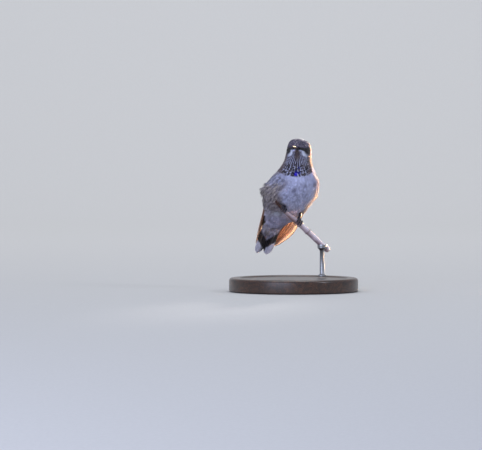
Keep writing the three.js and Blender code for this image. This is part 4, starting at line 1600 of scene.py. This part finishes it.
# Each feather: how far aside its tip lies, how much shorter it is, its level towards the back, and the
# lengths of its white tip and of the black behind it with the slant of their edges, in mm.
TAIL_FEATHERS = (
    {"aside": 3.4, "short": 0.7, "level": -0.66, "white": 5.4, "black": 5.6, "slant": 1.6},
    {"aside": 2.7, "short": 0.0, "level": -0.5, "white": 5.0, "black": 5.4, "slant": 0.8},
    {"aside": 1.8, "short": 0.7, "level": -0.34, "white": 1.6, "black": 6.6, "slant": 0.4},
    {"aside": 1.1, "short": 2.2, "level": -0.18, "white": 0.0, "black": 6.4, "slant": 0.0},
)
TAIL_VANE = {"half": 2.0, "thick": 0.12, "shaft": 0.08}  # mm
MIDDLE_FEATHER = {"aside": 0.95, "short": 3.4, "level": 0.3, "white": 0.0, "black": 3.0, "slant": 0.0}


def tail_quill(sign, feather, draw):
    """A tail feather, laid out in the tail's own plane."""
    length = tail_long - feather["short"]
    y = length * QUILL_STEPS
    x = sign * feather["aside"] * mix(0.62, 1.0, ease(0, 0.5, QUILL_STEPS))
    z = feather["level"] - 0.25 * QUILL_STEPS**2
    middle = TAIL_ROOT + np.outer(x, tail_x) + np.outer(y, tail_y) + np.outer(z, tail_z)
    along = unit(np.gradient(middle, axis=0))
    across = np.broadcast_to(tail_x * sign, along.shape)
    across = unit(across - along * np.sum(across * along, axis=1, keepdims=True))
    up = np.broadcast_to(tail_z, along.shape)
    rounded = np.sqrt(np.maximum(1 - np.clip((QUILL_STEPS - 0.84) / 0.16, 0, 1) ** 2.2, 0.01))
    swell = mix(0.42, 1, ease(0, 0.35, QUILL_STEPS)) * rounded

    def tint(s, t):
        from_tip = (1 - s) * length + 0.5 * np.abs(t) - 0.25 - feather["slant"] * t
        base = TAIL_GREEN if feather is MIDDLE_FEATHER else TAIL_GREY
        tone = np.broadcast_to(base, (len(s), 3))
        dark = feather["white"] + feather["black"]
        tone = paint(tone, TAIL_BLACK, ease(dark + 0.5, dark - 0.5, from_tip))
        if feather["white"]:
            tone = paint(tone, TAIL_WHITE, ease(feather["white"] + 0.2, feather["white"] - 0.2, from_tip))
        return paint(tone, SHAFT, (np.abs(t) < 0.05) * 0.5)

    half = TAIL_VANE["half"] * swell * mix(1, 0.8, ease(0.55, 1, QUILL_STEPS))
    return quill(middle, across, up, half, half, TAIL_VANE["thick"], TAIL_VANE["shaft"], tint, draw)


tail_vane = vane_finish("tail feather keratin", 0xE8E0E0, 0.3)
for seed, (side, sign) in enumerate((("left", 1), ("right", -1)), 51):
    draw = np.random.default_rng(seed)
    piece = bundle(f"tail_{side}_vanes", [tail_quill(sign, feather, draw) for feather in TAIL_FEATHERS])
    fix(piece, tail_vane, "flight_feather", f"tail_{side}", smooth=None)
draw = np.random.default_rng(53)
piece = bundle("tail_middle_vanes", [tail_quill(sign, MIDDLE_FEATHER, draw) for sign in (1, -1)])
fix(piece, tail_vane, "flight_feather", "tail_middle", smooth=None)

# ---- Bill ----------------------------------------------------------------------------------------
# Two slender black horn sheaths, the upper one over the lower, set into the feathers of the face. The horn
# is grown, and worn smooth and glossy, with faint lines along it.


def bill_half(name, node):
    """A smooth copy of one half of the bill."""
    made = copy_of(name, node)
    apply_modifier(made, "SUBSURF", levels=2, render_levels=2)
    return made


horn = new_material("black bill horn")
place = add(horn, "ShaderNodeTexCoord").outputs["Object"]
along_bill = add(horn, "ShaderNodeMapping", {"Scale": (1, 0.06, 1)}, Vector=place)
lines = add(
    horn, "ShaderNodeTexNoise", {"Scale": 1 / (0.22 * MM), "Detail": 3}, Vector=along_bill.outputs["Vector"]
)
horn_tone = ramp(horn, lines.outputs["Fac"], (0.35, 0x0F0E11), (0.65, 0x25211F))
horn_rough = add(horn, "ShaderNodeMapRange", {"To Min": 0.28, "To Max": 0.42}, Value=lines.outputs["Fac"])
horn_bump = add(
    horn, "ShaderNodeBump", {"Strength": 0.25, "Distance": 0.02 * MM}, Height=lines.outputs["Fac"]
)
shader = add(
    horn,
    "ShaderNodeBsdfPrincipled",
    {"IOR": 1.54},
    Base_Color=horn_tone,
    Roughness=horn_rough.outputs["Result"],
    Normal=horn_bump.outputs["Normal"],
)
show(horn, shader.outputs["BSDF"])
for half in ("upper", "lower"):
    fix(bill_half(f"bill_{half}_horn", f"bill_{half}"), horn, "horn", f"bill_{half}", smooth=60)

# ---- Eyes ----------------------------------------------------------------------------------------
# Large dark eyes: a brown-black iris round a black pupil under a clear, wet cornea, each in a ring of bare
# beaded lid skin. The eyeballs are set into the orbits and the lids close over their rims.
cornea = new_material("wet dark eye")
iris = add(cornea, "ShaderNodeAttribute", {"attribute_name": "plumage"})
shader = add(
    cornea,
    "ShaderNodeBsdfPrincipled",
    {"Roughness": 0.08, "IOR": 1.5, "Coat Weight": 1.0, "Coat Roughness": 0.02, "Coat IOR": 1.5},
    Base_Color=iris.outputs["Color"],
)
show(cornea, shader.outputs["BSDF"])
lid_skin = new_material("bare lid skin")
place = add(lid_skin, "ShaderNodeTexCoord").outputs["Object"]
wrinkles = add(lid_skin, "ShaderNodeTexVoronoi", {"Scale": 1 / (0.16 * MM)}, Vector=place)
lid_tone = ramp(lid_skin, wrinkles.outputs["Distance"], (0.0, 0x3A3436), (0.6, 0x1C191B))
lid_bump = add(
    lid_skin,
    "ShaderNodeBump",
    {"Strength": 0.5, "Distance": 0.03 * MM},
    Height=wrinkles.outputs["Distance"],
)
shader = add(
    lid_skin,
    "ShaderNodeBsdfPrincipled",
    {"Roughness": 0.5},
    Base_Color=lid_tone,
    Normal=lid_bump.outputs["Normal"],
)
show(lid_skin, shader.outputs["BSDF"])
PUPIL, IRIS = shade(0x040404), shade(0x24140D)
for side, eye in eyes.items():
    bpy.ops.object.select_all(action="DESELECT")
    bpy.ops.mesh.primitive_uv_sphere_add(segments=48, ring_count=32, radius=EYE["radius"] * MM)
    ball = bpy.context.object
    ball.name = f"eye_{side}_ball"
    looks = Vector(BIRD["turn"] @ eye["looks"])
    ball.rotation_mode = "QUATERNION"
    ball.rotation_quaternion = looks.to_track_quat("Z", "Y")
    ball.location = out_of(BIRD, eye["at"])
    bpy.ops.object.transform_apply(location=True, rotation=True, scale=True)
    from_centre = into(BIRD, read(ball.data, "co")) - eye["at"]
    off_axis = np.degrees(np.arccos(np.clip(unit(from_centre) @ eye["looks"], -1, 1)))
    bulge = eye["at"] + from_centre * (1 + 0.035 * ease(40, 10, off_axis))[:, None]
    ball.data.vertices.foreach_set("co", out_of(BIRD, bulge).ravel())
    colour_attribute(ball.data, paint(PUPIL, IRIS, ease(27, 30, off_axis) * ease(52, 44, off_axis)))
    fix(ball, cornea, "eye", f"eye_{side}", smooth=180)

    bpy.ops.object.select_all(action="DESELECT")
    lid_radius = (EYE["radius"] + 0.06) * math.sin(math.radians(EYE["opening"]))
    bpy.ops.mesh.primitive_torus_add(
        major_radius=lid_radius * MM, minor_radius=0.15 * MM, major_segments=72, minor_segments=12
    )
    lid = bpy.context.object
    lid.name = f"eye_{side}_lid"
    ring = read(lid.data, "co")
    beads = 1 + 0.12 * np.sin(np.arctan2(ring[:, 1], ring[:, 0]) * 24)
    core = unit(ring * (1, 1, 0)) * lid_radius * MM
    ring = core + (ring - core) * beads[:, None]
    lid.data.vertices.foreach_set("co", ring.ravel())
    lid.rotation_mode = "QUATERNION"
    lid.rotation_quaternion = looks.to_track_quat("Z", "Y")
    off = (EYE["radius"] + 0.04) * math.cos(math.radians(EYE["opening"]))
    lid.location = out_of(BIRD, eye["at"] + eye["looks"] * off)
    fix(lid, lid_skin, "leg_skin", smooth=180)

# ---- Legs and feet -------------------------------------------------------------------------------
# Short bare shanks and three toes over the stalk with one behind, in near-black scaly skin, each toe with a
# curved, sharp claw of dark horn. The skin is ringed with small overlapping scutes.
STALK = {"at": np.array((-1.35, 0.3, 39)), "along": np.array((0.66, 0.4, -0.589))}
stalk_x = unit(STALK["along"])
stalk_z = unit(np.array((0, 0, 1)) - stalk_x * stalk_x[2])
STALK["turn"] = np.stack((stalk_x, np.cross(stalk_z, stalk_x), stalk_z), axis=1)
SCUTE = 0.42  # mm from ring to ring

foot_skin = new_material("scaly foot skin")
place = add(foot_skin, "ShaderNodeTexCoord").outputs["Object"]
scales = add(foot_skin, "ShaderNodeTexVoronoi", {"Scale": 1 / (0.3 * MM)}, Vector=place)
foot_tone = ramp(foot_skin, scales.outputs["Distance"], (0.1, 0x45404E), (0.7, 0x1E1B26))
foot_bump = add(
    foot_skin, "ShaderNodeBump", {"Strength": 0.5, "Distance": 0.04 * MM}, Height=scales.outputs["Distance"]
)
shader = add(
    foot_skin,
    "ShaderNodeBsdfPrincipled",
    {"Roughness": 0.45, "IOR": 1.5},
    Base_Color=foot_tone,
    Normal=foot_bump.outputs["Normal"],
)
show(foot_skin, shader.outputs["BSDF"])
claw_horn = new_material("dark claw horn")
place = add(claw_horn, "ShaderNodeTexCoord").outputs["Object"]
growth = add(claw_horn, "ShaderNodeTexNoise", {"Scale": 1 / (0.2 * MM), "Detail": 2}, Vector=place)
claw_tone = ramp(claw_horn, growth.outputs["Fac"], (0.35, 0x141215), (0.7, 0x3A302C))
shader = add(claw_horn, "ShaderNodeBsdfPrincipled", {"Roughness": 0.28, "IOR": 1.54}, Base_Color=claw_tone)
show(claw_horn, shader.outputs["BSDF"])


def scaled_copy(name, node, ring_of):
    """A smooth copy of a toe or shank, swollen back to its size and ringed with scutes."""
    made = copy_of(name, node)
    apply_modifier(made, "SUBSURF", levels=3, render_levels=3)
    at = into(STALK, read(made.data, "co"))
    normal = read(made.data, "normal") @ STALK["turn"]
    ring = np.abs(np.sin(math.pi * ring_of(at) / SCUTE))
    at = at + normal * (0.05 + 0.05 * (ring - 0.6))[:, None]
    made.data.vertices.foreach_set("co", out_of(STALK, at).ravel())
    made.data.update()
    return made


def round_the_stalk(at):
    """How far points lie round the stalk, in mm."""
    return np.arctan2(at[:, 1], at[:, 2]) * 1.9


for side in ("left", "right"):
    for node in (f"toe_{side}_{toe}" for toe in ("inner", "middle", "outer", "hind")):
        fix(scaled_copy(f"{node}_skin", node, round_the_stalk), foot_skin, "leg_skin", node, smooth=60)
    shank = scaled_copy(f"leg_{side}_skin", f"leg_{side}", lambda at: at[:, 2])
    fix(shank, foot_skin, "leg_skin", f"leg_{side}", smooth=60)
    for node in (f"claw_{side}_{toe}" for toe in ("inner", "middle", "outer", "hind")):
        claw = copy_of(f"{node}_horn", node)
        apply_modifier(claw, "SUBSURF", levels=2, render_levels=2)
        fix(claw, claw_horn, "horn", node, smooth=60)

# ---- Perch ---------------------------------------------------------------------------------------
# A cut length of dry flower stalk: pinkish tan, with a painted silvery highlight along its top and painted
# brown shade along its underside, long fibres, a swelling at each old joint, dried bud scales at its broken
# thin end, and a saw cut across its pith at the thick end.
STALK_TIP, STALK_END, STALK_FOOT = -14, 29.5, 4.9  # mm along it, with 0 between the feet
STALK_BEND = 2.6  # mm that the thin end bends to the front
STALK_JOINTS = (12.5, 27)


def stalk_middle(x):
    """The middle of the stalk, in its own frame."""
    bend = np.where(x < 0, STALK_BEND * (x / STALK_TIP) ** 2, 0)
    return np.stack((x, -bend, 0.18 * np.sin(x / 5.5)), axis=1)


def stalk_radius(x):
    """Thin at the tip, and a little swollen at each joint."""
    share = np.clip((x - STALK_TIP) / (STALK_FOOT - STALK_TIP), 0, 1)
    swell = sum(0.2 * np.exp(-(((x - joint) / 1.3) ** 2)) for joint in STALK_JOINTS)
    return mix(0.5, 1.45, share**1.2) + swell


def stalk_marks(at):
    """How deep the stalk's ribs and wrinkles are at points, in mm, and the angle round it."""
    x = at[:, 0]
    off = at - stalk_middle(x)
    around = np.arctan2(off[:, 1], off[:, 2])
    ribs = 0.05 * np.cos(11 * around + 0.4 * np.sin(x / 3)) + 0.03 * np.cos(23 * around + 1.3 + x / 9)
    wrinkles = sum(0.05 * np.exp(-(((x - joint) / 0.5) ** 2)) * np.cos(9 * x) for joint in STALK_JOINTS)
    return ribs + wrinkles + 0.05 * (dapple(at, 1.1, 7) - 0.5), around


# The stalk's tan and brown, the painted highlight laid along its top, and its pith.
STALK_TAN, STALK_BROWN, STALK_PAINTED_HIGHLIGHT, PITH = (
    shade(0xCEBCC6),
    shade(0x6E4E48),
    shade(0xF2ECF6),
    shade(0xD8C3A0),
)
perch = copy_of("perch_stalk_bark", "perch_stalk")
edit_all(perch, bpy.ops.mesh.subdivide, number_cuts=3)
at = into(STALK, read(perch.data, "co"))
out_from = at - stalk_middle(at[:, 0])
radial = row_lengths(out_from)[:, 0]
on_bark = (
    (radial > 0.6 * stalk_radius(at[:, 0])) & (at[:, 0] < STALK_END - 0.02) & (at[:, 0] > STALK_TIP + 0.02)
)
marks, around_stalk = stalk_marks(at)
near_end = ease(STALK_END, STALK_END - 0.4, at[:, 0])
full = stalk_radius(at[:, 0]) + marks * ease(STALK_TIP, -8, at[:, 0])
rounded = stalk_middle(at[:, 0]) + unit(out_from) * (full - 0.06 * (1 - near_end))[:, None]
at = np.where(on_bark[:, None], rounded, at)
perch.data.vertices.foreach_set("co", out_of(STALK, at).ravel())
stalk_dapple, stalk_fine = dapple(at, 3.0, 8), dapple(at * (0.25, 1, 1), 0.5, 9)
tone = paint(
    np.broadcast_to(STALK_TAN, (len(at), 3)), STALK_BROWN, ease(-12, -16, at[:, 0] + 5 * stalk_dapple) * 0.8
)
# Painted shade: the underside is painted brown in patches.
tone = paint(
    tone, STALK_BROWN, 0.75 * ease(80, 150, np.degrees(np.abs(around_stalk))) * ease(0.2, 0.7, stalk_dapple)
)
tone = paint(tone, STALK_BROWN, 0.35 * ease(6.5, 3.5, at[:, 0]))
# Painted highlight: the top is painted silvery, weaker from the feet towards the thin end.
painted_top_light = mix(0.2, 1.0, ease(5, 9, at[:, 0])) * ease(0.0, 0.3, stalk_fine)
tone = paint(tone, STALK_PAINTED_HIGHLIGHT, painted_top_light * ease(85, 35, np.degrees(np.abs(around_stalk + 0.5))))
for joint in STALK_JOINTS:
    tone = paint(tone, STALK_BROWN, 0.7 * np.exp(-(((at[:, 0] - joint - 0.4) / 0.35) ** 2)))
tone = paint(tone, STALK_BROWN * 0.4, ease(-6, -10, at[:, 0]))
pith = (~on_bark) & (at[:, 0] > 0)
tone = np.where(
    pith[:, None],
    paint(np.broadcast_to(PITH, tone.shape), STALK_BROWN, 0.3 * ease(0.4, 0.8, stalk_fine)),
    tone,
)
colour_attribute(perch.data, tone)

dry_bark = new_material("dry flower stalk")
tint = add(dry_bark, "ShaderNodeAttribute", {"attribute_name": "plumage"})
place = add(dry_bark, "ShaderNodeTexCoord").outputs["Object"]
turn = STALK["turn"].T
stalk_euler = Matrix(turn.tolist()).to_euler()
along = add(dry_bark, "ShaderNodeMapping", {"Rotation": tuple(stalk_euler)}, Vector=place)
stretched = add(dry_bark, "ShaderNodeMapping", {"Scale": (0.07, 1, 1)}, Vector=along.outputs["Vector"])
fibres = add(
    dry_bark,
    "ShaderNodeTexNoise",
    {"Scale": 1 / (0.16 * MM), "Detail": 4},
    Vector=stretched.outputs["Vector"],
)
fibre_light = add(
    dry_bark,
    "ShaderNodeMapRange",
    {"From Min": 0.3, "From Max": 0.7, "To Min": 0.78, "To Max": 1.12},
    Value=fibres.outputs["Fac"],
)
bark_tone = add(
    dry_bark,
    "ShaderNodeVectorMath",
    {"operation": "SCALE"},
    Scale=fibre_light.outputs["Result"],
    in0=tint.outputs["Color"],
)
bark_bump = add(
    dry_bark, "ShaderNodeBump", {"Strength": 0.6, "Distance": 0.06 * MM}, Height=fibres.outputs["Fac"]
)
shader = add(
    dry_bark,
    "ShaderNodeBsdfPrincipled",
    {"Roughness": 0.62, "Specular IOR Level": 0.35},
    Base_Color=bark_tone.outputs["Vector"],
    Normal=bark_bump.outputs["Normal"],
)
show(dry_bark, shader.outputs["BSDF"])
fix(perch, dry_bark, "dry_stalk", "perch_stalk", smooth=50)

# Dried bud scales: thin pointed husks, brown and curled, left round the joints and crowded at the thin tip.
BUD_SCALE = {"long": 1.7, "wide": 0.36, "thick": 0.14}
HUSKS = (
    [(-13.4 + 0.45 * i, 137 * i, 1.0) for i in range(14)] + [
        (12.2 + 0.25 * i, 128 * i + 40, 0.6) for i in range(4)
    ]
)
husks = []
draw = np.random.default_rng(61)
for x, degrees, size in HUSKS:
    bpy.ops.object.select_all(action="DESELECT")
    bpy.ops.mesh.primitive_cone_add(
        vertices=8, radius1=BUD_SCALE["wide"] * MM, radius2=0.05 * MM, depth=BUD_SCALE["long"] * MM
    )
    husk = bpy.context.object
    edit_all(husk, bpy.ops.mesh.subdivide, number_cuts=2)
    co = read(husk.data, "co") / MM
    rise = (co[:, 2] + BUD_SCALE["long"] / 2) / BUD_SCALE["long"]
    belly = 0.55 + 1.5 * rise * (1 - rise)
    co[:, 0] *= belly
    co[:, 1] = co[:, 1] * 0.45 * belly + 0.5 * rise**2 * draw.uniform(0.2, 1.0)
    co[:, 2] += BUD_SCALE["long"] / 2
    co *= size * draw.uniform(0.75, 1.25)
    angle = math.radians(degrees + draw.uniform(-20, 20))
    out_way = np.array((0, math.sin(angle), math.cos(angle)))
    lean = draw.uniform(0.4, 1.0)
    ahead = unit(np.array((-1.0, 0, 0)) * (1.0 if x < 0 else -1.0) + out_way * lean)
    beside = unit(np.cross(ahead, out_way))
    frame_of = np.stack((beside, np.cross(ahead, beside), ahead), axis=1)
    seat = stalk_middle(np.array((x,)))[0] + out_way * (stalk_radius(np.array((x,)))[0] - 0.12)
    husk.data.vertices.foreach_set("co", out_of(STALK, co @ frame_of.T + seat).ravel())
    husks.append(husk)
bpy.ops.object.select_all(action="DESELECT")
for husk in husks:
    husk.select_set(True)
bpy.context.view_layer.objects.active = husks[0]
bpy.ops.object.join()
buds = husks[0]
buds.name = "perch_bud_scales"
edit_all(buds, bpy.ops.mesh.normals_make_consistent, inside=False)
husk_skin = new_material("dried bud husk")
place = add(husk_skin, "ShaderNodeTexCoord").outputs["Object"]
husk_cloud = add(husk_skin, "ShaderNodeTexNoise", {"Scale": 1 / (0.8 * MM), "Detail": 3}, Vector=place)
husk_tone = ramp(husk_skin, husk_cloud.outputs["Fac"], (0.35, 0x4A2C28), (0.65, 0x85604F))
husk_bump = add(
    husk_skin, "ShaderNodeBump", {"Strength": 0.5, "Distance": 0.05 * MM}, Height=husk_cloud.outputs["Fac"]
)
shader = add(
    husk_skin,
    "ShaderNodeBsdfPrincipled",
    {"Roughness": 0.7},
    Base_Color=husk_tone,
    Normal=husk_bump.outputs["Normal"],
)
show(husk_skin, shader.outputs["BSDF"])
fix(buds, husk_skin, "dry_stalk", smooth=60)

# ---- Floor, light and camera ---------------------------------------------------------------------
# A plain pale sheet of paper that sweeps up far behind, under soft studio light: a wide cool light in
# front, a smaller one from the bird's left, and a warm one low behind its left shoulder, which rims the
# coat and glows through the wing. A faint one above draws a line along the bill, and a wide one lights the
# backdrop.
SWEEP = {"half": 2.4, "bend": 1.2, "radius": 1.2, "drop": 0.0003}


def sweep_up():
    """Carries the sheet's far edge round a quarter turn and straight up."""
    select_faces(lambda face: False)
    bpy.ops.mesh.select_mode(type="EDGE")
    mesh = bmesh.from_edit_mesh(bpy.context.edit_object.data)
    for edge in mesh.edges:
        edge.select_set(all(vertex.co.y > SWEEP["bend"] - 0.01 for vertex in edge.verts))
    bmesh.update_edit_mesh(bpy.context.edit_object.data)
    middle = (0, SWEEP["bend"], SWEEP["radius"] - SWEEP["drop"])
    bpy.ops.mesh.spin(steps=24, angle=-math.pi / 2, center=middle, axis=(1, 0, 0))
    bpy.ops.mesh.extrude_region_move(TRANSFORM_OT_translate={"value": (0, 0, 1.5)})
    bpy.ops.mesh.select_all(action="SELECT")
    bpy.ops.mesh.normals_make_consistent(inside=False)


bpy.ops.object.select_all(action="DESELECT")
bpy.ops.mesh.primitive_plane_add(
    size=2 * SWEEP["half"], location=(0, SWEEP["bend"] - SWEEP["half"], -SWEEP["drop"])
)
floor = bpy.context.object
floor.name = "floor"
bpy.ops.object.transform_apply(location=True, rotation=True, scale=True)
edit(floor, sweep_up)
floor.data.polygons.foreach_set("use_smooth", np.ones(len(floor.data.polygons), bool))

paper = new_material("pale paper sweep")
place = add(paper, "ShaderNodeTexCoord").outputs["Object"]
fibres = add(paper, "ShaderNodeTexNoise", {"Scale": 0.9 / MM, "Detail": 2}, Vector=place)
paper_tone = ramp(paper, fibres.outputs["Fac"], (0.3, 0xC4C4C2), (0.7, 0xC8C8C6))
shader = add(
    paper, "ShaderNodeBsdfPrincipled", {"Roughness": 0.9, "Specular IOR Level": 0.2}, Base_Color=paper_tone
)
show(paper, shader.outputs["BSDF"])
floor.data.materials.append(paper)

world = bpy.data.worlds.new("studio")
bpy.context.scene.world = world
world.use_nodes = True
background = world.node_tree.nodes["Background"]
background.inputs["Color"].default_value = linear(0xCFD6E6)
background.inputs["Strength"].default_value = 0.6


def soft_light(name, size, colour, power, at, towards=(0, 0, 0.055), spread=180):
    """A soft square light at a place, turned towards a point."""
    data = bpy.data.lights.new(name, "AREA")
    data.size = size
    data.color = linear(colour)[:3]
    data.energy = power
    data.spread = math.radians(spread)
    lamp = bpy.data.objects.new(name, data)
    bpy.context.collection.objects.link(lamp)
    lamp.location = at
    lamp.rotation_euler = (Vector(towards) - Vector(at)).to_track_quat("-Z", "Y").to_euler()


soft_light("front_light", 0.8, 0xD8E0FF, 5.6, (-0.45, -0.9, 0.26))
soft_light("side_light", 0.12, 0xEEF4FF, 1.0, (0.62, -0.4, 0.4))
soft_light("rim_light", 0.03, 0xFFCC9A, 0.095, (0.15, 0.2, 0.024), towards=(0, 0, 0.057), spread=18)
soft_light("bill_light", 0.03, 0xFFF8F4, 0.0035, (0.06, 0.24, 0.2), towards=(0, -0.012, 0.075), spread=14)
soft_light("backdrop_light", 1.6, 0xF0F0F4, 50.0, (0, 0.6, 2.4), towards=(0, 2.4, 0.5))

bpy.context.scene.view_settings.view_transform = "Standard"
FRAME_WIDE = 0.2537  # metres across the picture, at the bird
FRAME_AT = Vector((-0.02767, 0, 0.03474))
LENS, SENSOR, RISE = 200, 36, 1.5
camera_data = bpy.data.cameras.new("camera")
camera_data.lens = LENS
camera_data.sensor_width = SENSOR
camera_data.clip_start = 0.05
camera_data.clip_end = 20
camera = bpy.data.objects.new("camera", camera_data)
bpy.context.collection.objects.link(camera)
bpy.context.scene.camera = camera
back_off = Vector((0, -math.cos(math.radians(RISE)), math.sin(math.radians(RISE))))
camera.location = FRAME_AT + back_off * FRAME_WIDE * LENS / SENSOR
camera.rotation_euler = (math.radians(90 - RISE), 0, 0)
